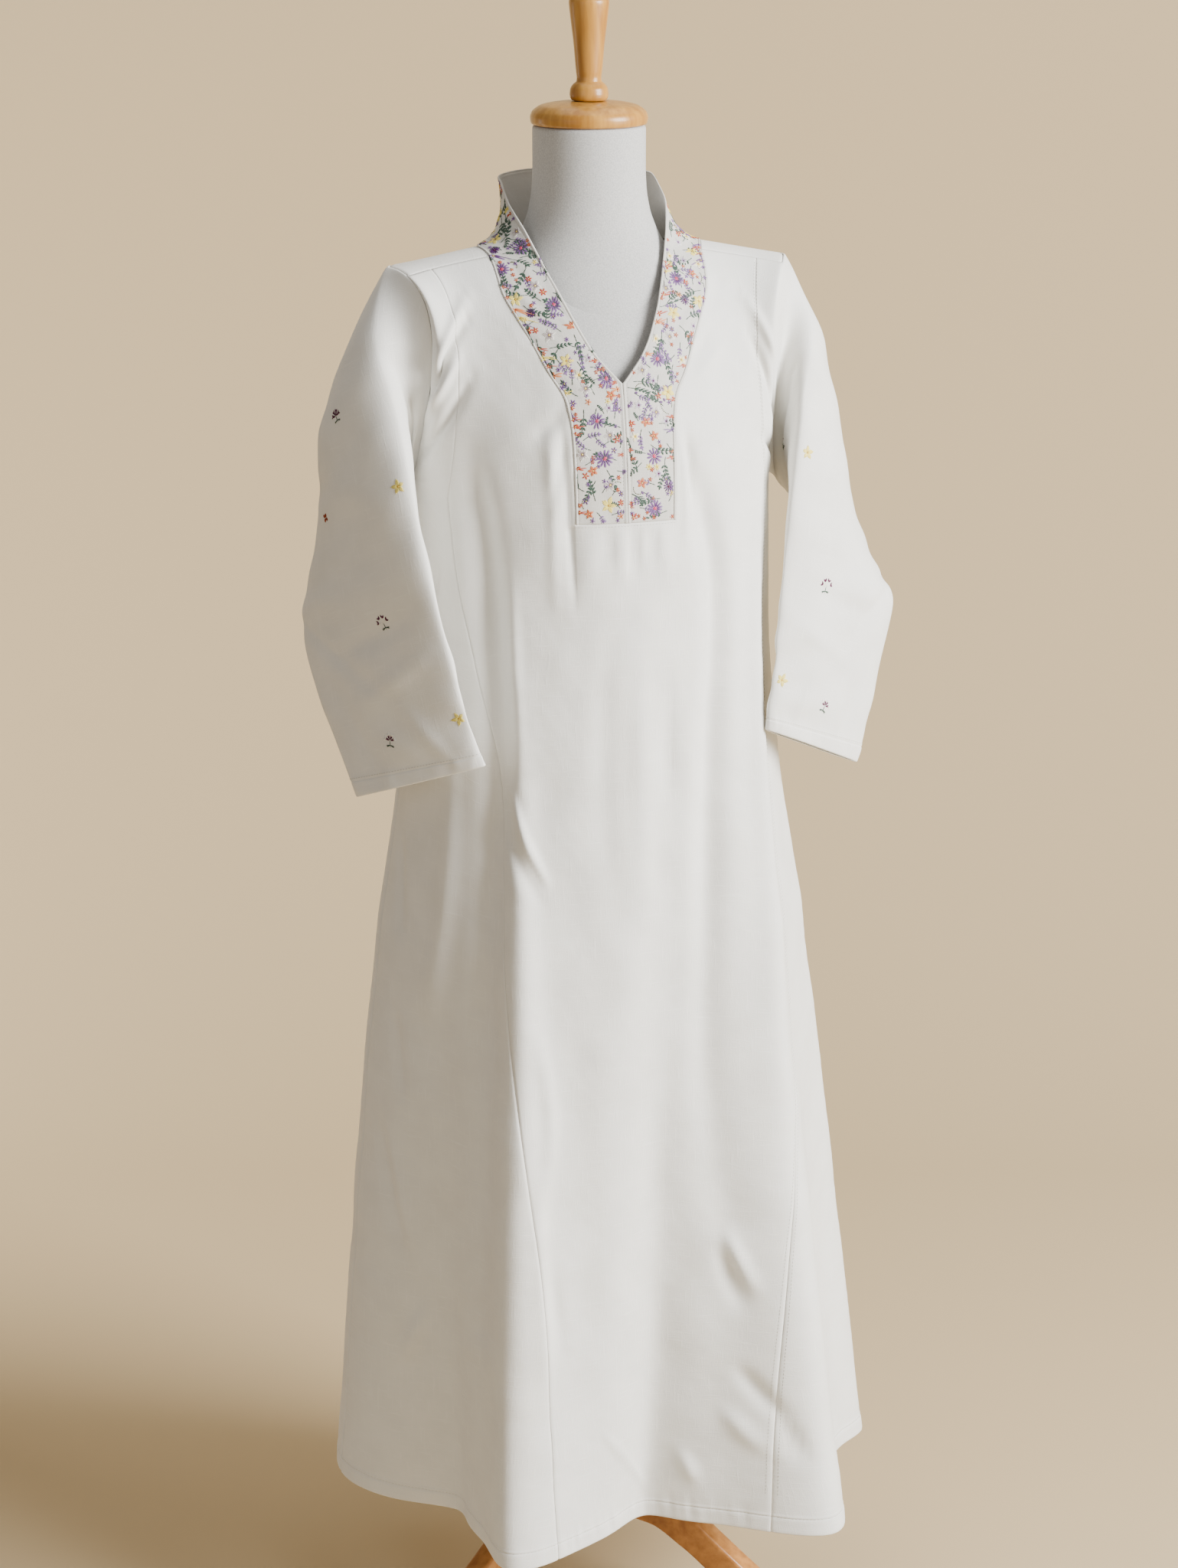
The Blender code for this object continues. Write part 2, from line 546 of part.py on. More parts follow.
def build_form():
    """The torso and its neck in one jersey-covered body."""
    mesh = bmesh.new()
    loft(mesh, [[mesh.verts.new(p) for p in ring] for ring in form_grid()])
    torso = finish("dress_form", mesh, JERSEY, 0.9)
    neck = lathe("neck_tool", ((1.300, 0.050), (1.360, 0.066), (1.385, 0.0625), (1.402, 0.0585),
                               (1.420, 0.0550), (1.445, 0.0530), (1.480, NECK_RADIUS),
                               (NECK_TOP_Z, NECK_RADIUS)), JERSEY, 0.9, 40)
    neck.hide_render = True
    neck.display_type = 'WIRE'
    joined = torso.modifiers.new("neck", 'BOOLEAN')
    joined.operation = 'UNION'
    joined.solver = 'EXACT'
    joined.object = neck
    return torso


def build_leg(name, angle):
    """A curved plank from the hub down to a foot that lies flat on the floor."""
    mesh = bmesh.new()
    turn = math.radians(angle)
    out = Vector((math.cos(turn), math.sin(turn), 0.0))
    side = Vector((-out.y, out.x, 0.0)) * (LEG_WIDTH / 2)
    rings = []
    for (reach, top), depth in zip(LEG_PATH, LEG_DEPTHS):
        low = max(top - depth, 0.0)
        chamfer = 0.004
        section = ((-1, low), (1, low), (1, top - chamfer), (0.7, top), (-0.7, top), (-1, top - chamfer))
        rings.append([mesh.verts.new(out * reach + side * s + Vector((0, 0, z))) for s, z in section])
    reach, top = LEG_PATH[-1]
    rings.append([mesh.verts.new(out * (reach + FOOT_LENGTH) + side * s + Vector((0, 0, z)))
                  for s, z in ((-1, 0), (1, 0), (1, 0.016), (0.7, 0.018), (-0.7, 0.018), (-1, 0.016))])
    loft(mesh, rings)
    return finish(name, mesh, WOOD, 0.35)


def build_stand():
    lathe("neck_cap", ((CAP_Z[0], 0.0515), (CAP_Z[0] + 0.0015, CAP_RADIUS), (CAP_Z[0] + 0.007, CAP_RADIUS + 0.0005),
                       (CAP_Z[0] + 0.013, CAP_RADIUS - 0.002), (CAP_Z[0] + 0.018, 0.044),
                       (CAP_Z[1] - 0.0005, 0.030), (CAP_Z[1], 0.018)), WOOD, 0.3, 48)
    lathe("finial", FINIAL, WOOD, 0.3, 28)
    lathe("pole", ((HUB_Z[1] + 0.0003, POLE_RADIUS), (FORM_RINGS[0][0] - 0.0003, POLE_RADIUS)), DARK_WOOD, 0.4, 20)
    lathe("hub", ((HUB_Z[0], HUB_RADIUS - 0.003), (HUB_Z[0] + 0.003, HUB_RADIUS),
                  (HUB_Z[1] - 0.003, HUB_RADIUS), (HUB_Z[1], HUB_RADIUS - 0.003)), DARK_WOOD, 0.4, 36)
    for number, angle in enumerate(LEG_ANGLES, 1):
        build_leg(f"leg_{number}", angle)


def stand_on_origin():
    """Moves every piece so that the whole stands with its box's centre over the origin."""
    bpy.context.view_layer.update()
    ready = bpy.context.evaluated_depsgraph_get()
    corners = []
    for obj in bpy.data.objects:
        if not obj.hide_render:
            corners += [Vector(c) for c in obj.evaluated_get(ready).bound_box]
    low = [min(c[k] for c in corners) for k in range(3)]
    high = [max(c[k] for c in corners) for k in range(3)]
    move = Vector((-(low[0] + high[0]) / 2, -(low[1] + high[1]) / 2, -low[2]))
    for obj in bpy.data.objects:
        obj.data.transform(Matrix.Translation(move))


def main():
    for old in list(bpy.data.objects):
        bpy.data.objects.remove(old, do_unlink=True)
    build_front_centre()
    build_front_side("front_side_right", False)
    build_front_side("front_side_left", True)
    build_back()
    build_sleeve("sleeve_right", SLEEVE_RIGHT, False)
    build_sleeve("sleeve_left", SLEEVE_LEFT, True)
    build_band("band_right", False)
    build_band("band_left", True)
    build_form()
    build_stand()
    stand_on_origin()


main()
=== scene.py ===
"""Looks of a kurta tunic on a limbless dress form with a turned wooden stand.

Metres, +Z up. The tunic faces -Y, with its own right sleeve at -X. Angles round the body
are degrees from -Y towards +X. The cloth follows the same sections as the solids it dresses.
"""
import math
import random

import bmesh
import bpy
import numpy as np
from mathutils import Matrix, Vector


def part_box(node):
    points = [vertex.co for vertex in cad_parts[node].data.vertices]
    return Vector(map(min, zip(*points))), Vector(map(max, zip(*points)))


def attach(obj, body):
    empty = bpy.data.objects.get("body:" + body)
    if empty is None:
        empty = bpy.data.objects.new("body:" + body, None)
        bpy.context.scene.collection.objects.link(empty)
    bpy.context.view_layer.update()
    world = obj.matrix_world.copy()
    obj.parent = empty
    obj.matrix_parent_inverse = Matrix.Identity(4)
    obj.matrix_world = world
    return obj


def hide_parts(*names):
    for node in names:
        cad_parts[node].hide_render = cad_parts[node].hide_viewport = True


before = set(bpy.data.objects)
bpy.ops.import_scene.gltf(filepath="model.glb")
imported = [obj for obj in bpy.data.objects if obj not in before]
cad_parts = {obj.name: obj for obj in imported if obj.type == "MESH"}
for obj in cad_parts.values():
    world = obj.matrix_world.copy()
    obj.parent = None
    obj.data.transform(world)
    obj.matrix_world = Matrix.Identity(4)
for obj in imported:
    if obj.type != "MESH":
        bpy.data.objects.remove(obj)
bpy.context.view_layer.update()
cap_low, cap_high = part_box("neck_cap")
AXIS_X = (cap_low[0] + cap_high[0]) / 2
AXIS_Y = (cap_low[1] + cap_high[1]) / 2

# Cloth
CLOTH = 0.0009
BAND_CLOTH = 0.0013
CORD_RADIUS = 0.0009
BAND_STITCH_OUT = 0.0022
BAND_STITCH_LINE = 0.0023
BAND_STITCH_IN = 0.0034
HEM_Z = 0.180
UNDERARM_Z = 1.190
SHOULDER_Z = 1.410
SHOULDER_X = 0.188
SHOULDER_SLOPE = 0.193
SHOULDER_EASE = 0.020
NECK_X = 0.100
ARMHOLE_DEPTH = 0.058
ARMHOLE_CUT_IN = 0.018
SEAM_FORWARD = 0.86
FRONT_ROUND = 1.6
BACK_ROUND = 2.6
TOP_ROUND = 1.8
HEM_DEPTH = 0.017
SEAM_HALF_GAP = 0.00012

# Body rings: height, half width, depth in front, depth behind
BODY_RINGS = (
    (0.180, 0.262, 0.205, 0.205),
    (0.500, 0.236, 0.183, 0.180),
    (0.750, 0.210, 0.165, 0.152),
    (0.930, 0.184, 0.150, 0.128),
    (1.060, 0.174, 0.142, 0.118),
    (1.190, 0.172, 0.134, 0.110),
)

# Folds: angle at the top, angle at the hem, spread before and after in degrees, height where
# it starts, and how far it stands out at the hem
FOLDS = (
    (-66, -58, 22, 12, 1.16, -0.046),
    (-42, -31, 9, 14, 1.15, 0.054),
    (19, 4, 14, 13, 1.20, -0.040),
    (50, 37, 12, 15, 1.15, 0.086),
    (82, 80, 7, 14, 1.00, 0.026),
    (112, 118, 14, 14, 1.05, -0.024),
    (140, 143, 14, 15, 1.12, 0.034),
    (176, 172, 16, 16, 1.12, -0.026),
    (-150, -148, 15, 14, 1.12, 0.036),
    (-124, -122, 13, 14, 1.05, -0.022),
)
FOLD_GROWTH = 0.75
FOLD_SHARPNESS = 1.6

# Creases: path as angle and height pairs, half width and depth, hollows below 0
CREASES = (
    (((-25, 1.262), (-23, 1.203), (-20, 1.100)), 0.0042, -0.0022),
    (((-30, 1.255), (-28, 1.190), (-27, 1.100)), 0.0070, 0.0020),
    (((22, 1.252), (25, 1.204), (24, 1.150)), 0.0045, 0.0020),
    (((26, 1.250), (29, 1.195), (30, 1.120)), 0.0060, -0.0026),
    (((-8, 1.171), (-8, 1.135)), 0.0030, -0.0016),
    (((-3, 1.171), (-2, 1.120)), 0.0040, 0.0012),
    (((2, 1.171), (3, 1.122)), 0.0030, -0.0017),
    (((9, 1.171), (11, 1.130)), 0.0032, -0.0016),
    (((-14, 1.171), (-14, 1.120)), 0.0040, 0.0011),
    (((15, 1.171), (16, 1.115)), 0.0040, 0.0012),
    (((-59, 1.230), (-53, 1.160), (-49, 1.060), (-46, 0.940), (-46, 0.760), (-44, 0.560), (-43, 0.400)),
     0.0150, -0.0080),
    (((-38, 1.020), (-37, 0.900), (-34, 0.720), (-32, 0.520), (-30, 0.340)), 0.0120, 0.0050),
    (((-43, 1.125), (-41, 1.045), (-39, 0.985), (-38, 0.927)), 0.0060, 0.0022),
    (((-41, 0.930), (-35, 0.879), (-28, 0.838)), 0.0032, 0.0024),
    (((-43, 0.925), (-38, 0.868), (-31, 0.825)), 0.0060, -0.0024),
    (((27, 1.228), (34, 1.174), (38, 1.100), (32, 0.950), (27, 0.790), (24, 0.640), (27, 0.490)),
     0.0140, -0.0072),
    (((61, 1.142), (52, 0.940), (47, 0.782), (41, 0.590)), 0.0120, 0.0052),
    (((-60, 1.352), (-74, 1.322), (-88, 1.285)), 0.0060, -0.0042),
    (((-56, 1.372), (-68, 1.345), (-86, 1.312)), 0.0070, 0.0026),
    (((-66, 1.318), (-78, 1.290), (-88, 1.262)), 0.0065, 0.0034),
    (((-60, 1.300), (-72, 1.262), (-86, 1.225)), 0.0070, -0.0036),
    (((-22, 1.276), (-36, 1.249)), 0.0070, -0.0018),
    (((-24, 1.253), (-29, 1.186)), 0.0060, -0.0014),
    (((29, 1.316), (41, 1.330)), 0.0060, -0.0015),
    (((34, 1.300), (48, 1.322)), 0.0060, 0.0012),
    (((62, 1.330), (74, 1.290), (86, 1.250)), 0.0065, -0.0030),
    (((60, 1.362), (74, 1.330), (86, 1.300)), 0.0065, 0.0020),
    (((66, 1.235), (76, 1.225), (88, 1.205)), 0.0060, -0.0030),
    (((-79, 0.690), (-74, 0.605)), 0.0050, -0.0028),
    (((-82, 0.575), (-72, 0.445)), 0.0060, -0.0032),
    (((-78, 0.560), (-69, 0.440)), 0.0060, 0.0020),
    (((-66, 0.392), (-71, 0.335)), 0.0050, 0.0026),
    (((-84, 0.860), (-78, 0.760)), 0.0060, -0.0024),
    (((-70, 1.130), (-78, 1.060), (-80, 0.960)), 0.0070, -0.0030),
    (((-64, 0.980), (-62, 0.850), (-66, 0.700)), 0.0120, 0.0036),
    (((27, 0.480), (31, 0.422)), 0.0040, 0.0030),
    (((25, 0.465), (29, 0.400)), 0.0055, -0.0026),
    (((27, 0.345), (32, 0.297)), 0.0045, -0.0034),
    (((32, 0.300), (34, 0.250)), 0.0040, -0.0030),
    (((24, 0.300), (29, 0.262)), 0.0050, 0.0026),
    (((14, 0.255), (17, 0.222)), 0.0050, 0.0024),
    (((-11, 0.290), (4, 0.214)), 0.0025, 0.0014),
    (((-29, 0.560), (-27, 0.440), (-25, 0.330)), 0.0050, 0.0020),
    (((-25, 0.470), (-22, 0.380)), 0.0050, -0.0014),
    (((-30, 0.700), (-26, 0.600), (-28, 0.500)), 0.0060, 0.0018),
    (((6, 1.060), (4, 0.940), (6, 0.800)), 0.0110, 0.0016),
    (((-8, 1.080), (-10, 0.960), (-8, 0.840)), 0.0110, -0.0012),
    (((16, 1.030), (14, 0.900)), 0.0090, -0.0014),
    (((58, 0.470), (62, 0.300)), 0.0080, -0.0030),
    (((86, 0.620), (92, 0.380)), 0.0080, 0.0022),
    (((125, 1.320), (140, 1.300), (150, 1.240)), 0.0080, -0.0028),
    (((118, 1.250), (132, 1.215), (150, 1.150)), 0.0080, 0.0024),
    (((-125, 1.315), (-142, 1.292), (-152, 1.235)), 0.0080, -0.0028),
    (((-116, 1.245), (-134, 1.205), (-148, 1.140)), 0.0080, 0.0024),
    (((168, 1.160), (164, 0.960), (160, 0.720)), 0.0130, -0.0036),
    (((-168, 1.180), (-164, 1.000), (-166, 0.780)), 0.0120, 0.0032),
    (((-140, 0.640), (-134, 0.520)), 0.0060, -0.0028),
    (((132, 0.540), (140, 0.430)), 0.0060, 0.0028),
    (((178, 0.400), (170, 0.300)), 0.0055, -0.0024),
    (((104, 0.900), (110, 0.760)), 0.0070, -0.0026),
    (((-106, 0.960), (-112, 0.800)), 0.0070, 0.0026),
)
# Every crease is this much deeper than its row says, and its angles are turned into lengths
# at this distance from the axis
CREASE_DEPTH = 1.65
CREASE_RADIUS = 0.16

# Princess seams: height, angle
SEAM_RIGHT = ((0.18, -22.0), (0.42, -26.3), (0.60, -33.0), (0.75, -39.0), (0.93, -46.0), (1.03, -55.0),
              (1.12, -63.0), (1.19, -67.0))
SEAM_LEFT = ((0.18, 28.4), (0.29, 31.0), (0.46, 37.5), (0.60, 46.0), (0.72, 53.0), (0.95, 60.0),
             (1.19, 69.0))
SEAM_TOP_ANGLE = 66.0

# Band and placket: height, half width of the outer edge
BAND_OUTER = ((1.173, 0.0470), (1.250, 0.0480), (1.282, 0.0520), (1.305, 0.0640),
              (1.335, 0.0780), (1.355, 0.0880), (1.376, 0.0970), (1.4005, 0.1000))
PLACKET_BOTTOM_Z = 1.173
V_POINT_Z = 1.297
PLACKET_SLIT = 0.0006
# Neck edge of the band on the chest: share of the way from the V to the shoulder, x, z
BAND_INNER = ((0.00, 0.0006, 1.297), (0.30, 0.0225, 1.323), (0.60, 0.0360, 1.348), (1.00, 0.0530, 1.388))
COLLAR_TOP = ((0.0660, -0.0250, 1.424), (0.0740, 0.0100, 1.449), (0.0735, 0.0480, 1.466),
              (0.0450, 0.0740, 1.470), (0.0006, 0.0840, 1.471))
SLOT_STEPS = 12
SLOT_RADIUS = 0.13
COLLAR_ROWS = 80
NECK_SHARE = 0.562
NECK_BACK_W = 0.70

# Sleeves: overarm crease x, y, z, underarm edge x, y, z, and the depth of the tube
SLEEVE_RIGHT = (
    (-0.1885, 0.0000, 1.3930, -0.1730, 0.0000, 1.1900, 0.100),
    (-0.2070, -0.0450, 1.3350, -0.2050, 0.0300, 1.1650, 0.088),
    (-0.2000, -0.0700, 1.2800, -0.2350, 0.0480, 1.1300, 0.070),
    (-0.1920, -0.0950, 1.2100, -0.2550, 0.0500, 1.0950, 0.050),
    (-0.1820, -0.1120, 1.1400, -0.2660, 0.0450, 1.0650, 0.038),
    (-0.1700, -0.1260, 1.0800, -0.2690, 0.0360, 1.0420, 0.032),
    (-0.1570, -0.1340, 1.0200, -0.2590, 0.0080, 0.9850, 0.028),
    (-0.1370, -0.1420, 0.9560, -0.2350, -0.0400, 0.9050, 0.024),
)
SLEEVE_LEFT = (
    (-0.1885, 0.0000, 1.3930, -0.1730, 0.0000, 1.1900, 0.100),
    (-0.1980, -0.0400, 1.3350, -0.2020, 0.0300, 1.1650, 0.072),
    (-0.1920, -0.0620, 1.2800, -0.2420, 0.0350, 1.1300, 0.060),
    (-0.1800, -0.0780, 1.2100, -0.2720, 0.0200, 1.1050, 0.046),
    (-0.1680, -0.0900, 1.1400, -0.2920, -0.0020, 1.0780, 0.036),
    (-0.1600, -0.0980, 1.0800, -0.2990, -0.0200, 1.0600, 0.030),
    (-0.1520, -0.1060, 1.0200, -0.2810, -0.0350, 0.9900, 0.027),
    (-0.1430, -0.1120, 0.9620, -0.2545, -0.0520, 0.9050, 0.024),
)
SLEEVE_COLUMNS = 112
SLEEVE_GIRTH = 0.36
SLEEVE_LENGTH = 0.50
CUFF_LENGTH = 0.52
SLEEVE_WAVE = 0.06
SLEEVE_CLEAR = 0.0012
SLEEVE_HEAD = 0.005
# Sleeve creases: share round the sleeve and share down it at both ends, half width, depth
SLEEVE_CREASES = (
    (0.86, 0.10, 0.70, 0.24, 0.01260, 0.0030),
    (0.90, 0.16, 0.74, 0.34, 0.01008, -0.0030),
    (0.80, 0.30, 0.62, 0.44, 0.01260, 0.0022),
    (0.62, 0.62, 0.84, 0.72, 0.01092, -0.0030),
    (0.60, 0.70, 0.80, 0.82, 0.00924, 0.0024),
    (0.92, 0.62, 0.72, 0.80, 0.00840, -0.0020),
    (0.70, 0.82, 0.64, 0.97, 0.00756, 0.0018),
    (0.84, 0.80, 0.82, 0.97, 0.00924, -0.0020),
    (0.38, 0.20, 0.20, 0.34, 0.01176, -0.0030),
    (0.30, 0.60, 0.14, 0.74, 0.01092, 0.0024),
)


def smooth_table(table, key, column):
    """A value read from a table on a smooth curve with no overshoot."""
    xs = np.array([row[0] for row in table], float)
    ys = np.array([row[column] for row in table], float)
    steps = np.diff(ys) / np.diff(xs)
    slopes = np.empty_like(ys)
    slopes[0], slopes[-1] = steps[0], steps[-1]
    before, after = steps[:-1], steps[1:]
    same = before * after > 0
    slopes[1:-1] = np.where(same, 2 * before * after / np.where(same, before + after, 1.0), 0.0)
    key = np.clip(np.asarray(key, float), xs[0], xs[-1])
    i = np.clip(np.searchsorted(xs, key, side="right") - 1, 0, len(xs) - 2)
    h = xs[i + 1] - xs[i]
    t = (key - xs[i]) / h
    rise = ys[i] * (1 + 2 * t) * (1 - t) ** 2 + ys[i + 1] * t * t * (3 - 2 * t)
    return rise + h * (slopes[i] * t * (1 - t) ** 2 + slopes[i + 1] * t * t * (t - 1))


def along(points, t):
    """Points on a smooth curve through a few given points, t from 0 to 1."""
    points = np.array(points, float)
    gaps = np.r_[0.0, np.cumsum(np.linalg.norm(np.diff(points, axis=0), axis=1))]
    rows = np.c_[gaps / gaps[-1], points]
    return np.stack([smooth_table(rows, t, c + 1) for c in range(points.shape[1])], axis=-1)


def turn_between(a, b):
    """The turn from b to a, between -180 and 180 degrees."""
    return (a - b + 180.0) % 360.0 - 180.0


def oval_radius(table, phi, z):
    """Distance from the axis on an oval read from a table of rings."""
    half, front, back = (smooth_table(table, z, c) for c in (1, 2, 3))
    sin, cos = np.sin(np.radians(phi)), np.cos(np.radians(phi))
    depth = np.where(cos >= 0, front, back)
    return 1.0 / np.sqrt((sin / half) ** 2 + (cos / depth) ** 2)


def ring_radius(phi, z):
    """Distance of the cloth from the axis, under the armholes."""
    radius = oval_radius(BODY_RINGS, phi, z)
    for top_angle, hem_angle, before, after, start, depth_at_hem in FOLDS:
        fall = np.clip((start - z) / (start - HEM_Z), 0.0, 1.0)
        off = turn_between(phi, top_angle + (hem_angle - top_angle) * fall)
        spread = np.where(off < 0, before, after)
        swell = np.exp(-0.5 * (off / spread * FOLD_SHARPNESS) ** 2)
        radius = radius + depth_at_hem * fall ** (1.0 + FOLD_GROWTH) * swell
    return radius


def ring_point(phi, z):
    """Points on the cloth under the armholes."""
    phi, z = np.broadcast_arrays(np.asarray(phi, float), np.asarray(z, float))
    r = ring_radius(phi, z)
    return np.stack([r * np.sin(np.radians(phi)), -r * np.cos(np.radians(phi)), z + 0.0 * r], axis=-1)


def shoulder_line(x):
    """Height of the shoulder seam at x across, eased at the neck."""
    return SHOULDER_Z - SHOULDER_SLOPE * (np.sqrt(x * x + SHOULDER_EASE ** 2) - NECK_X)


def armhole_x(w):
    """Half width between the armholes at a share of the way up."""
    side = BODY_RINGS[-1][1]
    return side + (SHOULDER_X - side) * w - ARMHOLE_CUT_IN * np.sin(np.pi * w)


def armhole_depth(w):
    """Half depth of the armhole at a share of the way up."""
    return ARMHOLE_DEPTH * np.sin(np.pi * np.clip(w, 0, 1)) ** 0.8


def rise_at(x, w):
    """Height on the chest or upper back at a share of the way up."""
    return UNDERARM_Z + (shoulder_line(x) - UNDERARM_Z) * (1 - (1 - w) ** TOP_ROUND)


def upper_point(phi, w):
    """Chest or upper back: w is 0 at the underarm, 1 on the shoulder line."""
    phi, w = np.broadcast_arrays(np.asarray(phi, float), np.asarray(w, float))
    base = ring_point(phi, UNDERARM_Z)
    front = np.cos(np.radians(phi)) >= 0
    edge = armhole_x(w)
    x = base[..., 0] * edge / BODY_RINGS[-1][1]
    z = rise_at(x, w)
    power = np.where(front, FRONT_ROUND, BACK_ROUND)
    bulge = armhole_depth(w) * np.abs(x / edge) ** 8
    y = base[..., 1] * (1 - w ** power) + np.where(front, -bulge, bulge)
    return np.stack([x, y, z], axis=-1)


def share_angle(share, front):
    """Angle on the underarm ring of a point at a share of the half width."""
    _, side, ahead, behind = BODY_RINGS[-1]
    depth = ahead if front else -behind
    rest = np.sqrt(np.maximum(0.0, 1 - np.asarray(share, float) ** 2))
    return np.degrees(np.arctan2(side * np.asarray(share, float), depth * rest))


def chest_at(x, z):
    """Depth of the cloth on the chest, at x across and z up."""
    x, z = np.broadcast_arrays(np.asarray(x, float), np.asarray(z, float))
    part = np.clip((z - UNDERARM_Z) / (shoulder_line(x) - UNDERARM_Z), 0.0, 1.0)
    w = 1 - (1 - part) ** (1 / TOP_ROUND)
    above = upper_point(share_angle(np.clip(x / armhole_x(w), -1.0, 1.0), True), w)[..., 1]
    below = ring_point(share_angle(np.clip(x / BODY_RINGS[-1][1], -1.0, 1.0), True), z)
    return np.where(z < UNDERARM_Z, below[..., 1], above)


def v_point_w():
    """How far up the front the point of the V lies, on the band's outer edge."""
    x = smooth_table(BAND_OUTER, V_POINT_Z, 1)
    return 1 - (1 - (V_POINT_Z - UNDERARM_Z) / (shoulder_line(x) - UNDERARM_Z)) ** (1 / TOP_ROUND)


def slot_angle(w):
    """Angle of the band's outer edge on the chest at a share of the way up."""
    guess = 20.0 * np.ones_like(np.asarray(w, float))
    for _ in range(SLOT_STEPS):
        point = upper_point(guess, w)
        miss = smooth_table(BAND_OUTER, point[..., 2], 1) - point[..., 0]
        guess = guess + np.degrees(miss / SLOT_RADIUS)
    return guess


def neckline_w(share):
    """How far up the back the neckline lies, at a share of the half width."""
    inside = np.clip(np.abs(share) / NECK_SHARE, 0.0, 1.0)
    return NECK_BACK_W + (1 - NECK_BACK_W) * (1 - np.sqrt(1 - inside ** 2))


# Node groups shared by the materials

THREAD_STRETCH = 0.10
THREADS_A_METRE = 1150.0
SLUBS_A_METRE = 330.0
BLOTCHES_A_METRE = 26.0
SLUB_RANGE = (0.56, 0.78)
UPRIGHT_GRAIN = (40.0, 40.0, 3.0)
CURVED_GRAIN = (22.0, 22.0, 22.0)
GRAIN_BEND = 0.035


def new_group(name, inputs, outputs):
    """A node group with its sockets: name, kind and start value for each."""
    group = bpy.data.node_groups.new(name, "ShaderNodeTree")
    for label, kind, start in inputs:
        made = group.interface.new_socket(name=label, in_out='INPUT', socket_type=kind)
        if start is not None:
            made.default_value = start
    for label, kind in outputs:
        group.interface.new_socket(name=label, in_out='OUTPUT', socket_type=kind)
    return group, group.nodes.new("NodeGroupInput"), group.nodes.new("NodeGroupOutput")


def maths(nodes, links, kind, a, b):
    """Two values worked together, each a number or a socket."""
    node = nodes.new("ShaderNodeMath")
    node.operation = kind
    for socket, value in zip(node.inputs, (a, b)):
        if isinstance(value, float):
            socket.default_value = value
        else:
            links.new(value, socket)
    return node.outputs[0]


def vector_maths(nodes, links, kind, first, second):
    """Two vectors worked together, or for SCALE a vector and a number."""
    node = nodes.new("ShaderNodeVectorMath")
    node.operation = kind
    links.new(first, node.inputs[0])
    socket = node.inputs["Scale"] if kind == 'SCALE' else node.inputs[1]
    if isinstance(second, float):
        socket.default_value = second
    else:
        links.new(second, socket)
    return node.outputs[0]


def noise(nodes, links, vector, scale, detail=2.0, roughness=0.5):
    """The outputs of a noise: its value first, and its Color."""
    node = nodes.new("ShaderNodeTexNoise")
    node.inputs["Scale"].default_value = scale
    node.inputs["Detail"].default_value = detail
    node.inputs["Roughness"].default_value = roughness
    links.new(vector, node.inputs["Vector"])
    return node.outputs


def make_weave_group():
    """Slubby plain weave from UV in metres: a height, a slub mask and a soft blotch mask."""
    group, given, out = new_group(
        "slubby weave", [("Scale", 'NodeSocketFloat', 1.0)],
        [("Height", 'NodeSocketFloat'), ("Slub", 'NodeSocketFloat'), ("Blotch", 'NodeSocketFloat')])
    nodes, links = group.nodes, group.links
    uv = nodes.new("ShaderNodeTexCoord").outputs["UV"]
    sized = vector_maths(nodes, links, 'SCALE', uv, given.outputs["Scale"])
    threads, slubs = [], []
    for stretch in ((THREAD_STRETCH, 1.0, 1.0), (1.0, THREAD_STRETCH, 1.0)):
        mapping = nodes.new("ShaderNodeMapping")
        mapping.inputs["Scale"].default_value = stretch
        links.new(sized, mapping.inputs["Vector"])
        threads.append(noise(nodes, links, mapping.outputs[0], THREADS_A_METRE, 2.0, 0.6)[0])
        slubs.append(noise(nodes, links, mapping.outputs[0], SLUBS_A_METRE, 3.0, 0.55)[0])
    ramp = nodes.new("ShaderNodeMapRange")
    ramp.inputs["From Min"].default_value, ramp.inputs["From Max"].default_value = SLUB_RANGE
    links.new(maths(nodes, links, 'MAXIMUM', *slubs), ramp.inputs["Value"])
    height = maths(nodes, links, 'ADD', maths(nodes, links, 'ADD', *threads), ramp.outputs[0])
    links.new(height, out.inputs["Height"])
    links.new(ramp.outputs[0], out.inputs["Slub"])
    links.new(noise(nodes, links, sized, BLOTCHES_A_METRE, 3.0)[0], out.inputs["Blotch"])
    return group


def make_grain_group():
    """Long wood grain along object Z, bent a little: a fine line mask and a broad band mask."""
    group, given, out = new_group(
        "long grain", [("Along", 'NodeSocketVector', UPRIGHT_GRAIN)],
        [("Lines", 'NodeSocketFloat'), ("Bands", 'NodeSocketFloat')])
    nodes, links = group.nodes, group.links
    place = nodes.new("ShaderNodeTexCoord").outputs["Object"]
    bend = vector_maths(nodes, links, 'SCALE', noise(nodes, links, place, 9.0)["Color"], GRAIN_BEND)
    moved = vector_maths(nodes, links, 'ADD', place, bend)
    scaled = vector_maths(nodes, links, 'MULTIPLY', moved, given.outputs["Along"])
    links.new(noise(nodes, links, scaled, 4.0, 4.0)[0], out.inputs["Lines"])
    links.new(noise(nodes, links, scaled, 0.9)[0], out.inputs["Bands"])
    return group


WEAVE = make_weave_group()
GRAIN = make_grain_group()


def blank_material(name, roughness, coat=0.0, sheen=0.0):
    """A new material with its shader and its node and link lists."""
    material = bpy.data.materials.new(name)
    material.use_nodes = True
    nodes, links = material.node_tree.nodes, material.node_tree.links
    shader = nodes["Principled BSDF"]
    shader.inputs["Roughness"].default_value = roughness
    shader.inputs["Coat Weight"].default_value = coat
    shader.inputs["Sheen Weight"].default_value = sheen
    shader.inputs["Sheen Roughness"].default_value = 0.5
    shader.inputs["Specular IOR Level"].default_value = 0.3
    return material, nodes, links, shader


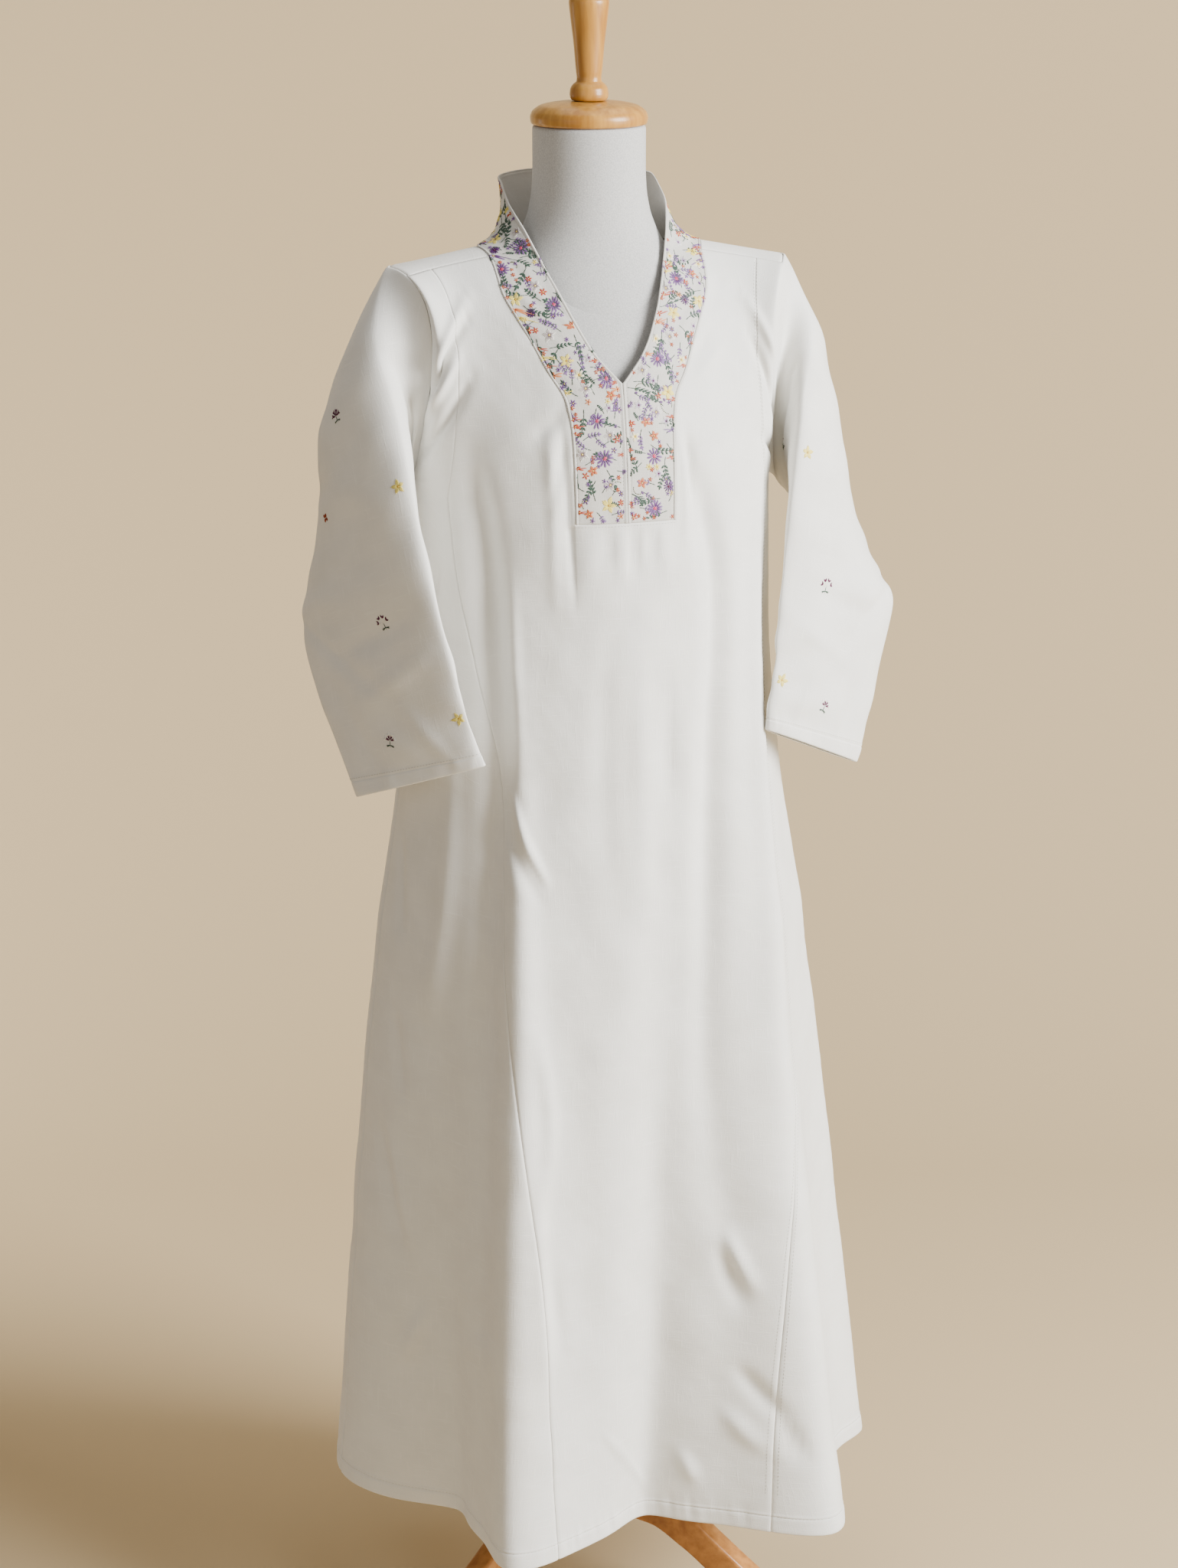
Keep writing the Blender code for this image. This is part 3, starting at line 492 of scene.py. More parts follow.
def two_colours(nodes, links, mask, low, high, start=0.3, end=0.7):
    """A colour that goes from low to high as the mask rises."""
    ramp = nodes.new("ShaderNodeValToRGB")
    ramp.color_ramp.elements[0].position = start
    ramp.color_ramp.elements[1].position = end
    ramp.color_ramp.elements[0].color = (*low, 1.0)
    ramp.color_ramp.elements[1].color = (*high, 1.0)
    links.new(mask, ramp.inputs[0])
    return ramp.outputs[0]


def mixed_colours(nodes, links, first, second, factor, blend='MIX'):
    """Two colours mixed by a number or a mask."""
    mix = nodes.new("ShaderNodeMix")
    mix.data_type = 'RGBA'
    mix.blend_type = blend
    for label, value in (("A", first), ("B", second), ("Factor", factor)):
        if isinstance(value, (float, tuple)):
            mix.inputs[label].default_value = value
        else:
            links.new(value, mix.inputs[label])
    return mix.outputs["Result"]


def bumped(nodes, links, shader, height, strength, distance):
    """Fine relief from a height."""
    bump = nodes.new("ShaderNodeBump")
    bump.inputs["Strength"].default_value = strength
    bump.inputs["Distance"].default_value = distance
    links.new(height, bump.inputs["Height"])
    links.new(bump.outputs[0], shader.inputs["Normal"])


def cloth_material(name, low, high, slub_tint, scale=1.0):
    """Slubby cloth, lighter at the slubs, with painted shade that darkens it between the threads."""
    material, nodes, links, shader = blank_material(name, 0.86, sheen=0.25)
    weave = nodes.new("ShaderNodeGroup")
    weave.node_tree = WEAVE
    weave.inputs["Scale"].default_value = scale
    base = two_colours(nodes, links, weave.outputs["Blotch"], low, high)
    slub = maths(nodes, links, 'MULTIPLY', weave.outputs["Slub"], 0.40)
    slubbed = mixed_colours(nodes, links, base, (*slub_tint, 1.0), slub)
    # Painted shade: the colour is multiplied darker where the weave is low, between the threads
    shade = two_colours(nodes, links, weave.outputs["Height"], (0.78, 0.77, 0.75), (1.0, 1.0, 1.0),
                        0.35, 0.8)
    shaded = mixed_colours(nodes, links, slubbed, shade, 0.45, 'MULTIPLY')
    links.new(shaded, shader.inputs["Base Color"])
    bumped(nodes, links, shader, weave.outputs["Height"], 0.24, 0.0005)
    return material


def jersey_material():
    """Fine grey knit."""
    material, nodes, links, shader = blank_material("grey jersey", 0.92, sheen=0.35)
    knit = noise(nodes, links, nodes.new("ShaderNodeTexCoord").outputs["Object"], 900.0)[0]
    links.new(two_colours(nodes, links, knit, (0.40, 0.40, 0.40), (0.56, 0.56, 0.55)),
              shader.inputs["Base Color"])
    bumped(nodes, links, shader, knit, 0.25, 0.0005)
    return material


def wood_material(name, dark, light, along_grain=UPRIGHT_GRAIN):
    """Varnished wood with long grain."""
    material, nodes, links, shader = blank_material(name, 0.34, coat=0.35)
    shader.inputs["Coat Roughness"].default_value = 0.22
    grain = nodes.new("ShaderNodeGroup")
    grain.node_tree = GRAIN
    grain.inputs["Along"].default_value = along_grain
    both = maths(nodes, links, 'ADD', maths(nodes, links, 'MULTIPLY', grain.outputs["Lines"], 0.6),
                 maths(nodes, links, 'MULTIPLY', grain.outputs["Bands"], 0.4))
    links.new(two_colours(nodes, links, both, dark, light, 0.36, 0.62), shader.inputs["Base Color"])
    bumped(nodes, links, shader, grain.outputs["Lines"], 0.12, 0.0008)
    return material


def thread_material(name):
    """Satin thread whose colour comes from the mesh, with fine strands along each stitch."""
    material, nodes, links, shader = blank_material(name, 0.42)
    tint = nodes.new("ShaderNodeAttribute")
    tint.attribute_name = "thread"
    strands = noise(nodes, links, nodes.new("ShaderNodeTexCoord").outputs["Object"], 1400.0)[0]
    shade = two_colours(nodes, links, strands, (0.80, 0.80, 0.80), (1.06, 1.06, 1.06))
    links.new(mixed_colours(nodes, links, tint.outputs["Color"], shade, 1.0, 'MULTIPLY'),
              shader.inputs["Base Color"])
    bumped(nodes, links, shader, strands, 0.3, 0.0004)
    return material


LINEN = cloth_material("undyed linen", (0.750, 0.745, 0.715), (0.800, 0.795, 0.765), (0.890, 0.885, 0.860))
BAND = cloth_material("neck band cloth", (0.560, 0.545, 0.510), (0.610, 0.595, 0.560), (0.700, 0.685, 0.650),
                      1.25)
JERSEY = jersey_material()
HONEY = wood_material("honey varnish", (0.34, 0.145, 0.022), (0.54, 0.275, 0.055))
# Dark wood for the pole and the hub; on the legs the same darker colours stand for honey varnish darkened as
# painted shade
DARK_WOOD_AND_SHADED_HONEY = wood_material("dark varnish, and honey varnish with painted shade", (0.30, 0.115, 0.025), (0.52, 0.23, 0.060), CURVED_GRAIN)
THREAD = thread_material("sewing and embroidery thread")


# Cloth surfaces

WAVES = 11
WAVE_LEVEL = 3.3
# A turned-up hem: how far the doubled cloth and the pucker stand out, and the depth of its
# stitched groove and of its rounded lip
HEM_STEP = 0.00055
HEM_PUCKER = 0.00045
HEM_GROOVE = 0.0007
HEM_LIP = 0.0006
HEM_STITCH = HEM_DEPTH - 0.0012
HEM_REACH = 0.06


def smoothstep(t):
    """A smooth step from 0 to 1."""
    t = np.clip(t, 0.0, 1.0)
    return t * t * (3 - 2 * t)


def dip(distance, half):
    """A soft bell, 1 at no distance."""
    return np.exp(-(distance / half) ** 2)


def crease_sum(u, v, creases):
    """Sum of the creases' offsets at places u across and v up, in metres."""
    total = np.zeros(u.shape)
    for line, half, amount in creases:
        low, high = line.min(axis=0) - 3 * half, line.max(axis=0) + 3 * half
        near = (u > low[0]) & (u < high[0]) & (v > low[1]) & (v < high[1])
        if not near.any():
            continue
        pu, pv = u[near], v[near]
        best, share = np.full(pu.shape, 1e9), np.zeros(pu.shape)
        count = len(line) - 1
        for k in range(count):
            start, run = line[k], line[k + 1] - line[k]
            t = np.clip(((pu - start[0]) * run[0] + (pv - start[1]) * run[1]) / (run @ run), 0.0, 1.0)
            far = (pu - start[0] - t * run[0]) ** 2 + (pv - start[1] - t * run[1]) ** 2
            share = np.where(far < best, (k + t) / count, share)
            best = np.minimum(best, far)
        fade = np.sin(np.pi * np.clip(share, 0.03, 0.97)) ** 0.6
        total[near] += amount * np.exp(-best / half ** 2) * fade
    return total


def body_crease_lines():
    """The creases as smooth lines in metres, with half width and depth."""
    made = []
    for path, half, amount in CREASES:
        line = along(path, np.linspace(0, 1, 19))
        made.append((np.stack([CREASE_RADIUS * np.radians(line[:, 0]), line[:, 1]], axis=-1), half, amount))
    return made


BODY_LINES = body_crease_lines()


def rumple(u, v, seed, size, amount):
    """Soft unevenness from a few crossed waves."""
    pick = random.Random(seed)
    total = np.zeros(np.shape(u))
    for _ in range(WAVES):
        turn, wave = pick.uniform(0, math.pi), size * pick.uniform(0.55, 1.8)
        along_wave = (u * math.cos(turn) + v * math.sin(turn)) * 2 * math.pi / wave
        across_wave = (u * math.sin(turn) - v * math.cos(turn)) * 2 * math.pi / (2.3 * wave)
        bend = 0.8 * np.sin(across_wave + pick.uniform(0, 6))
        total += np.sin(along_wave + bend + pick.uniform(0, 6))
    return total * amount / WAVE_LEVEL


def body_offset(phi, z):
    """How far the small creases and the unevenness move the cloth out."""
    phi = turn_between(np.asarray(phi, float), 0.0)
    u = CREASE_RADIUS * np.radians(phi)
    total = crease_sum(u, z, BODY_LINES) + crease_sum(u + CREASE_RADIUS * 2 * math.pi, z, BODY_LINES)
    total *= CREASE_DEPTH
    sideways, ahead = CREASE_RADIUS * np.sin(np.radians(phi)), CREASE_RADIUS * np.cos(np.radians(phi))
    total += rumple(sideways * 1.3, z * 0.62, 4, 0.075, 0.00050)
    total += rumple(ahead * 1.3, z * 0.62, 9, 0.085, 0.00040)
    return total + rumple(sideways, z, 21, 0.022, 0.00012)


def hem_offset(height, across, seed):
    """How far a turned-up hem stands out, with its stitched line and small puckers."""
    step = HEM_STEP * (1 - smoothstep((height - HEM_DEPTH) / 0.0016))
    groove = -HEM_GROOVE * dip(height - HEM_STITCH, 0.0009)
    lip = -HEM_LIP * (1 - np.clip(height / 0.0014, 0.0, 1.0)) ** 2
    pucker = dip(height - 0.75 * HEM_DEPTH, 0.010) * rumple(across, height * 0.3, seed, 0.016, HEM_PUCKER)
    return step + groove + lip + pucker


def normals_of(points):
    """Unit vectors out of a grid whose columns run round and whose rows run up."""
    out = np.cross(np.gradient(points, axis=1), np.gradient(points, axis=0))
    return out / np.maximum(np.linalg.norm(out, axis=2), 1e-12)[:, :, None]


def flat_lengths(points, middle):
    """Distances across and up along the cloth, in metres, for its texture."""
    across = np.linalg.norm(np.diff(points, axis=1), axis=2)
    across = np.concatenate([np.zeros((len(points), 1)), np.cumsum(across, axis=1)], axis=1)
    across = across - across[:, middle:middle + 1]
    up = np.linalg.norm(np.diff(points, axis=0), axis=2)
    up = np.concatenate([np.zeros((1, points.shape[1])), np.cumsum(up, axis=0)], axis=0)
    return np.stack([across, up], axis=-1)


def show(name, data, material, stands_for=()):
    """An object from a mesh, riding the one body, with the material it is given."""
    obj = bpy.data.objects.new(name, data)
    bpy.context.scene.collection.objects.link(obj)
    data.materials.append(material)
    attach(obj, "root")
    if stands_for:
        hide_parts(*stands_for)
    return obj


def grid_mesh(points):
    """A bmesh grid with a vertex at each point of an array of rows and columns."""
    rows, columns = points.shape[:2]
    mesh = bmesh.new()
    bmesh.ops.create_grid(mesh, x_segments=columns - 1, y_segments=rows - 1, size=1.0)
    mesh.verts.ensure_lookup_table()
    for vert, place in zip(mesh.verts, points.reshape(-1, 3)):
        vert.co = place
    return mesh


def drop_cells(mesh, columns, keep):
    """Deletes the faces of a grid whose cell isn't kept."""
    gone = []
    for face in mesh.faces:
        row, column = divmod(min(vert.index for vert in face.verts), columns)
        if not keep(row, column):
            gone.append(face)
    bmesh.ops.delete(mesh, geom=gone, context='FACES_ONLY')


def mesh_data(mesh, name):
    """The finished mesh of a bmesh, shaded smooth."""
    data = bpy.data.meshes.new(name)
    mesh.to_mesh(data)
    mesh.free()
    data.shade_smooth()
    return data


def make_cloth(name, points, material, thickness, node, keep=None):
    """A thin wall of cloth on a grid of points, in place of a node."""
    columns = points.shape[1]
    mesh = grid_mesh(points)
    if keep is not None:
        drop_cells(mesh, columns, lambda row, column: keep[row, column])
    tag = mesh.verts.layers.int.new("grid place")
    for vert in mesh.verts:
        vert[tag] = vert.index
    bmesh.ops.delete(mesh, geom=[vert for vert in mesh.verts if not vert.link_faces], context='VERTS')
    data = mesh_data(mesh, name)
    lengths = flat_lengths(points, columns // 2).reshape(-1, 2)
    places = np.empty(len(data.vertices), np.int32)
    data.attributes["grid place"].data.foreach_get("value", places)
    corners = np.empty(len(data.loops), np.int32)
    data.loops.foreach_get("vertex_index", corners)
    layer = data.uv_layers.new(name="cloth")
    layer.uv.foreach_set("vector", lengths[places[corners]].ravel().astype(np.float32))
    data.attributes.remove(data.attributes["grid place"])
    obj = show(name, data, material, (node,))
    wall = obj.modifiers.new("wall", 'SOLIDIFY')
    wall.thickness = thickness
    wall.offset = 0.0
    return obj


MOVE = np.array((AXIS_X, AXIS_Y, 0.0))
MIRROR = np.array((-1.0, 1.0, 1.0))
EDGE_STEPS = np.array((0.0, 0.0005, 0.0011, 0.0020, 0.0042))
EDGE_ROLL = np.array((-0.0010, -0.0005, -0.0001, 0.0, 0.0))
# The edge steps are true at this distance from the axis
EDGE_RADIUS = 0.17
# Degrees that keep the panels apart at the top of the princess seams
SEAM_TURN = 0.04
SIDE_COLUMNS = 50
HEM_ROWS = HEM_Z + np.array((0.0, 0.0006, 0.0014, 0.0035, 0.0070, 0.0110, 0.0140, 0.0150, 0.0158, 0.0166,
                             0.0174, 0.0182, 0.0200, 0.0235))
LOW_ROWS = np.r_[HEM_ROWS, np.linspace(0.2080, 1.1660, 206)]
FOOT_ROW_Z = 1.17285
PLACKET_ROWS = np.array((1.1695, 1.1716, FOOT_ROW_Z, 1.1765, 1.1810, 1.1858))
UNDER_ROWS = np.r_[LOW_ROWS, PLACKET_ROWS]
HIGH_ROWS = np.r_[v_point_w() * np.linspace(0, 1, 24)[:-1],
                  v_point_w() + (SEAM_FORWARD - v_point_w()) * np.linspace(0, 1, 38)]


def between(a, b, count):
    """Angles from a to b, closer together near both ends."""
    steps = EDGE_STEPS / (abs(math.radians(b - a)) * EDGE_RADIUS)
    inner = np.linspace(steps[-1], 1 - steps[-1], count)[1:-1]
    return a + (b - a) * np.r_[steps, inner, 1 - steps[::-1]]


def trim(angle, z, by):
    """An angle moved by a length along the ring."""
    return angle + np.degrees(by / ring_radius(angle, z))


def moved_out(points, offset):
    """Points of a grid moved along its normals."""
    return points + normals_of(points) * offset[:, :, None]


def front_centre_grid():
    """Points and kept cells of the centre front, slit above the placket's foot for the band."""
    sides, middle = 40, 16
    foot = int(np.argmin(np.abs(UNDER_ROWS - FOOT_ROW_Z)))
    rows, angles = [], []
    slot_x = BAND_OUTER[0][1] + SEAM_HALF_GAP

    def line_at(start, slot, end):
        centre = np.linspace(-slot, slot, middle + 1)[1:-1]
        return np.r_[between(start, -slot, sides), centre, between(slot, end, sides)]

    for z in UNDER_ROWS:
        a = trim(smooth_table(SEAM_RIGHT, z, 1), z, SEAM_HALF_GAP)
        b = trim(smooth_table(SEAM_LEFT, z, 1), z, -SEAM_HALF_GAP)
        level = min(z, PLACKET_BOTTOM_Z)
        s = math.degrees(math.atan2(slot_x, -chest_at(slot_x, level)))
        s *= 0.55 + 0.45 * (level - HEM_Z) / (PLACKET_BOTTOM_Z - HEM_Z)
        line = line_at(a, s, b)
        rows.append(ring_point(line, z))
        angles.append(line)
    a0, b0 = smooth_table(SEAM_RIGHT, UNDERARM_Z, 1), smooth_table(SEAM_LEFT, UNDERARM_Z, 1)
    for w in HIGH_ROWS:
        share = w / SEAM_FORWARD
        a = a0 - (SEAM_TOP_ANGLE + a0) * share + SEAM_TURN
        b = b0 + (SEAM_TOP_ANGLE - b0) * share - SEAM_TURN
        line = line_at(a, float(slot_angle(w)) + math.degrees(SEAM_HALF_GAP / 0.11), b)
        rows.append(upper_point(line, w))
        angles.append(line)
    points, angles = np.array(rows), np.array(angles)
    keep = np.ones(points.shape[:2], bool)
    side_columns = len(EDGE_STEPS) * 2 + sides - 2
    keep[foot:, side_columns - 1:side_columns - 1 + middle] = False
    return points, angles, keep, foot, side_columns


def edge_roll(columns):
    """The cloth turns in a little at both edges of a panel."""
    roll = np.zeros(columns)
    roll[:len(EDGE_ROLL)] = EDGE_ROLL
    roll[-len(EDGE_ROLL):] = EDGE_ROLL[::-1]
    return roll


def near_band(points):
    """0 beside the neck band and the shoulder seam, 1 well away from them."""
    outer = smooth_table(BAND_OUTER, points[..., 2], 1)
    away = np.clip((np.abs(points[..., 0]) - outer) / 0.012, 0.0, 1.0)
    below = np.clip((PLACKET_BOTTOM_Z - points[..., 2]) / 0.004, 0.0, 1.0)
    seam = np.clip((1.398 - points[..., 2]) / 0.020, 0.0, 1.0)
    return np.maximum(away, below) * np.where(points[..., 2] > 1.30, seam, 1.0)


def arc_of(line):
    """Distance along a line of points."""
    return np.r_[0.0, np.cumsum(np.linalg.norm(np.diff(line, axis=0), axis=1))]


def dressed(points, angles, roll, seed, calm):
    """The cloth's middle with creases, seams and hem worked in, in the row frame."""
    height = points[..., 2] - HEM_Z
    across = np.broadcast_to(arc_of(points[0]), height.shape)
    hem = np.where(height < HEM_REACH, hem_offset(height, across, seed), 0.0)
    offset = body_offset(angles, points[..., 2]) * calm + hem + roll
    return moved_out(points, offset) + MOVE


def build_front_centre():
    """The centre front. Returns its grid too, the foot row and the columns beside the slit."""
    points, angles, keep, foot, side_columns = front_centre_grid()
    roll = np.zeros(points.shape[:2]) + edge_roll(points.shape[1])
    ends = len(EDGE_ROLL)
    roll[foot + 1:, side_columns - ends:side_columns] += 0.8 * EDGE_ROLL[::-1]
    first = points.shape[1] - side_columns
    roll[foot + 1:, first:first + ends] += 0.8 * EDGE_ROLL
    placed = dressed(points, angles, roll, 31, near_band(points))
    obj = make_cloth("centre_front", placed, LINEN, CLOTH, "front_centre", keep)
    return obj, placed, foot, side_columns


def build_front_side(name, left, node, seed):
    """A side front, from the side seam to the princess seam."""
    rows, angles = [], []
    for z in UNDER_ROWS:
        if left:
            ends = (trim(smooth_table(SEAM_LEFT, z, 1), z, SEAM_HALF_GAP), trim(90.0, z, -SEAM_HALF_GAP))
        else:
            ends = (trim(-90.0, z, SEAM_HALF_GAP), trim(smooth_table(SEAM_RIGHT, z, 1), z, -SEAM_HALF_GAP))
        line = between(float(ends[0]), float(ends[1]), SIDE_COLUMNS)
        rows.append(ring_point(line, z))
        angles.append(line)
    top = (SEAM_TOP_ANGLE + SEAM_TURN, 89.95) if left else (-89.95, -SEAM_TOP_ANGLE - SEAM_TURN)
    a0, b0 = angles[-1][0], angles[-1][-1]
    for w in HIGH_ROWS:
        share = w / SEAM_FORWARD
        line = between(a0 + (top[0] - a0) * share, b0 + (top[1] - b0) * share, SIDE_COLUMNS)
        rows.append(upper_point(line, w))
        angles.append(line)
    points, angles = np.array(rows), np.array(angles)
    placed = dressed(points, angles, edge_roll(points.shape[1]), seed, near_band(points))
    return make_cloth(name, placed, LINEN, CLOTH, node), placed


def build_back():
    """The back with the part of the shoulders that comes forward, open at the neck."""
    neck = NECK_SHARE + 0.004
    outer = np.linspace(0.9995, neck, 42)
    inner = np.linspace(neck, -neck, 54)[1:-1]
    share = np.r_[outer, inner, -outer[::-1]]
    columns = len(share)
    bottom = np.linspace(trim(90.0, HEM_Z, SEAM_HALF_GAP), trim(270.0, HEM_Z, -SEAM_HALF_GAP), columns)
    top = share_angle(share, False) % 360.0
    top[0], top[-1] = trim(90.0, UNDERARM_Z, SEAM_HALF_GAP), trim(270.0, UNDERARM_Z, -SEAM_HALF_GAP)
    rows, angles = [], []
    for z in UNDER_ROWS:
        part = ((z - HEM_Z) / (UNDERARM_Z - HEM_Z)) ** 2
        line = bottom + (top - bottom) * part
        rows.append(ring_point(line, z))
        angles.append(line)
    for w in 1 - (1 - np.linspace(0, 1, 62)) ** 1.5:
        rows.append(upper_point(share_angle(share, False), w * neckline_w(share)))
        angles.append(share_angle(share, False) % 360.0)
    keep = np.ones((len(rows), columns), bool)
    solid = np.ones(columns, bool)
    solid[len(outer) - 1:len(outer) + len(inner)] = False
    keep[-1] = solid
    over = np.linspace(1.0, SEAM_FORWARD, 16)[1:]
    for w in over:
        rows.append(upper_point(share_angle(share, True), w))
        angles.append(share_angle(share, True))
    keep = np.r_[keep, np.broadcast_to(solid, (len(over), columns))]
    points, angles = np.array(rows), np.array(angles)
    roll = np.zeros(points.shape[:2])
    roll[:, 0] = roll[:, -1] = -0.0008
    roll[-1] -= 0.0006
    calm = np.clip((1.385 - points[..., 2]) / 0.03, 0.0, 1.0)
    placed = dressed(points, angles, roll, 47, calm)
    return make_cloth("back_panel", placed, LINEN, CLOTH, "back", keep), placed


def sleeve_grid(table, count, rows_at):
    """Rings of a sleeve that lies flat from its overarm crease to its underarm edge."""
    values = along(table, rows_at)
    crease, edge, depth = values[:, 0:3], values[:, 3:6], values[:, 6]
    middle = (crease + edge) / 2
    run = np.gradient(middle, rows_at, axis=0)
    run[0] = (-1.0, 0.0, -0.2)
    across = np.cross(crease - edge, run)
    across /= np.linalg.norm(across, axis=1)[:, None]
    angle = np.linspace(np.pi, 3 * np.pi, count)
    half = (crease - edge)[:, None, :] / 2
    swell = np.sin(angle) * np.abs(np.sin(angle)) ** 0.15
    lens = middle[:, None, :] + half * np.cos(angle)[None, :, None]
    lens = lens - across[:, None, :] * (swell[None, :, None] * depth[:, None, None] / 2)
    w = (1 + np.cos(angle)) / 2
    x = armhole_x(w)
    y = armhole_depth(w)
    hole = np.stack([-x - SLEEVE_CLEAR / 2, np.where(np.sin(angle) >= 0, y, -y), rise_at(x, w)], axis=-1)
    mix = smoothstep(rows_at / 0.16)[:, None, None]
    rings = hole[None] * (1 - mix) + lens * mix
    rings[:, :, 0] -= (SLEEVE_HEAD * np.sin(np.pi * np.clip(rows_at / 0.3, 0, 1)))[:, None]
    return rings


def build_sleeve(name, table, left, node, seed):
    """A sleeve with its creases and cuff. The left one is mirrored."""
    body = np.linspace(0.0, 0.962, 116)
    cuff = 1.0 - np.array((0.0335, 0.0310, 0.0295, 0.0282, 0.0270, 0.0258, 0.0220, 0.0150, 0.0080, 0.0035,
                           0.0014, 0.0))
    rows_at = np.r_[0.0, 0.0016, 0.0040, body[1:], cuff]
    points = sleeve_grid(table, SLEEVE_COLUMNS, rows_at)[::-1]
    points = points * MIRROR if left else points[:, ::-1]
    share = np.broadcast_to(np.linspace(0, 1, SLEEVE_COLUMNS)[None], points.shape[:2])
    if not left:
        share = 1 - share
    down = np.broadcast_to(rows_at[::-1, None], points.shape[:2])
    across, along_arm = share * SLEEVE_GIRTH, down * SLEEVE_LENGTH
    lines = []
    for s0, t0, s1, t1, half, amount in SLEEVE_CREASES:
        ends = np.array(((s0, t0), (s1, t1))) * (SLEEVE_GIRTH, SLEEVE_LENGTH)
        lines.append((np.linspace(*ends, 6), half, amount))
    offset = crease_sum(across, along_arm, lines)
    offset += rumple(np.sin(share * 2 * np.pi) * SLEEVE_WAVE, along_arm, seed, 0.075, 0.0007)
    offset += rumple(np.cos(share * 2 * np.pi) * SLEEVE_WAVE, along_arm, seed + 3, 0.060, 0.0006)
    offset *= np.clip(down / 0.05, 0, 1)
    hem = hem_offset((1 - down) * CUFF_LENGTH, across, seed)
    offset += np.where(down > 0.9, hem, 0.0)
    offset[-1] -= 0.0010
    offset[-2] -= 0.0004
    placed = moved_out(points, offset) + MOVE
    return make_cloth(name, placed, LINEN, CLOTH, node), placed


def collar_base():
    """The neckline from the shoulder seam round to the centre back, on the wearer's left."""
    rise = np.linspace(SEAM_FORWARD, 1.0, 12)[:-1]
    front = upper_point(share_angle(np.full(11, NECK_SHARE), True), rise)
    share = NECK_SHARE * np.cos(np.linspace(0, np.pi / 2, 40))
    back = upper_point(share_angle(share, False), neckline_w(share))
    return np.r_[front, back]


def band_profile(r, width):
    """Swell across the band: a corded edge outside, a narrow one at the neck, stitching between."""
    outer, inner = r * width, (1 - r) * width
    cord = 0.00050 * np.sqrt(np.clip(1 - (outer / CORD_RADIUS - 1) ** 2, 0, 1))
    rim = 0.00045 * np.sqrt(np.clip(1 - (inner / CORD_RADIUS - 1) ** 2, 0, 1))
    groove = -0.0003 * (dip(outer - BAND_STITCH_OUT, 0.0005) + dip(inner - BAND_STITCH_IN, 0.0005))
    pad = 0.0004 * np.sqrt(np.clip(np.sin(np.pi * r), 0, 1))
    return cord + rim + groove + pad + 0.0001


def build_band(name, left, node, seed):
    """One half of the placket, neck band and collar. The right one is mirrored."""
    r = np.r_[np.linspace(0, 0.07, 10), np.linspace(0.07, 0.90, 26)[1:-1], np.linspace(0.90, 1.0, 10)]
    across = len(r)
    gap = math.degrees(SEAM_HALF_GAP / BAND_OUTER[-1][1])
    rows = []
    for foot in PLACKET_BOTTOM_Z + np.array((0.0002, 0.0008, 0.0018, 0.0032, 0.0050, 0.0090, 0.0130)):
        x = BAND_OUTER[0][1] - SEAM_HALF_GAP + (PLACKET_SLIT * 0.5 - BAND_OUTER[0][1]) * r
        rows.append(np.stack([x, chest_at(x, foot), np.full(across, foot)], -1))
    point = v_point_w()
    for w in HIGH_ROWS:
        edge = upper_point(slot_angle(w) - gap, w)
        share = max(0.0, (w - point) / (SEAM_FORWARD - point))
        if share > 0:
            x_in, z_in = smooth_table(BAND_INNER, share, 1), smooth_table(BAND_INNER, share, 2)
        else:
            x_in, z_in = PLACKET_SLIT * 0.5, edge[2]
        x, z = edge[0] + (x_in - edge[0]) * r, edge[2] + (z_in - edge[2]) * r
        row = np.stack([x, chest_at(x, z), z], -1)
        row[0] = edge
        rows.append(row)
    base = collar_base()
    base = base[np.linalg.norm(base - rows[-1][0], axis=1) > 0.002]
    collar = np.linspace(0, 1, COLLAR_ROWS + 1)[1:]
    top = along([rows[-1][-1], *COLLAR_TOP], collar)
    out = along([rows[-1][0], *base[::3], base[-1]], collar)
    bow = np.sin(np.pi * r)[:, None] * np.array((0.0014, 0.0, 0.0014))
    for low_edge, high_edge in zip(out, top):
        start = low_edge + np.array((0.0, 0.0, 0.0006))
        rows.append(start + (high_edge - start) * r[:, None] + bow)
    points = np.array(rows)
    width = np.linalg.norm(np.diff(points, axis=1), axis=2).sum(axis=1)[:, None]
    offset = band_profile(r[None], width)
    offset = offset + rumple(r[None] * width, arc_of(points[:, 0])[:, None], seed, 0.030, 0.00022)
    offset[0] -= 0.0006
    normal = -normals_of(points)
    placed = points + normal * offset[:, :, None]
    placed[:, :, 0] = np.maximum(placed[:, :, 0], 0.0002)
    placed = placed[:, ::-1]
    if not left:
        placed = (placed * MIRROR)[:, ::-1]
    placed = placed + MOVE
    return make_cloth(name, placed, BAND, BAND_CLOTH, node), placed


# Dress form and stand

def make_turned(name, profile, material, segments, node):
    """A turned piece from heights and radii."""
    height, radius = np.array(profile, float).T[:, :, None]
    turn = np.linspace(0, 2 * np.pi, segments + 1)[None, :-1]
    grid = np.stack([radius * np.cos(turn), radius * np.sin(turn), height + 0 * turn], axis=-1)
    return make_solid(name, grid + MOVE, material, node)


def rounded(profile, steps=8):
    """Smooth points through a profile, by its own length."""
    points = [(radius, z) for z, radius in profile]
    return along(points, np.linspace(0, 1, steps * (len(profile) - 1) + 1))[:, ::-1]


FORM_GAP = 0.0075
FORM_REST_GAP = 0.0012
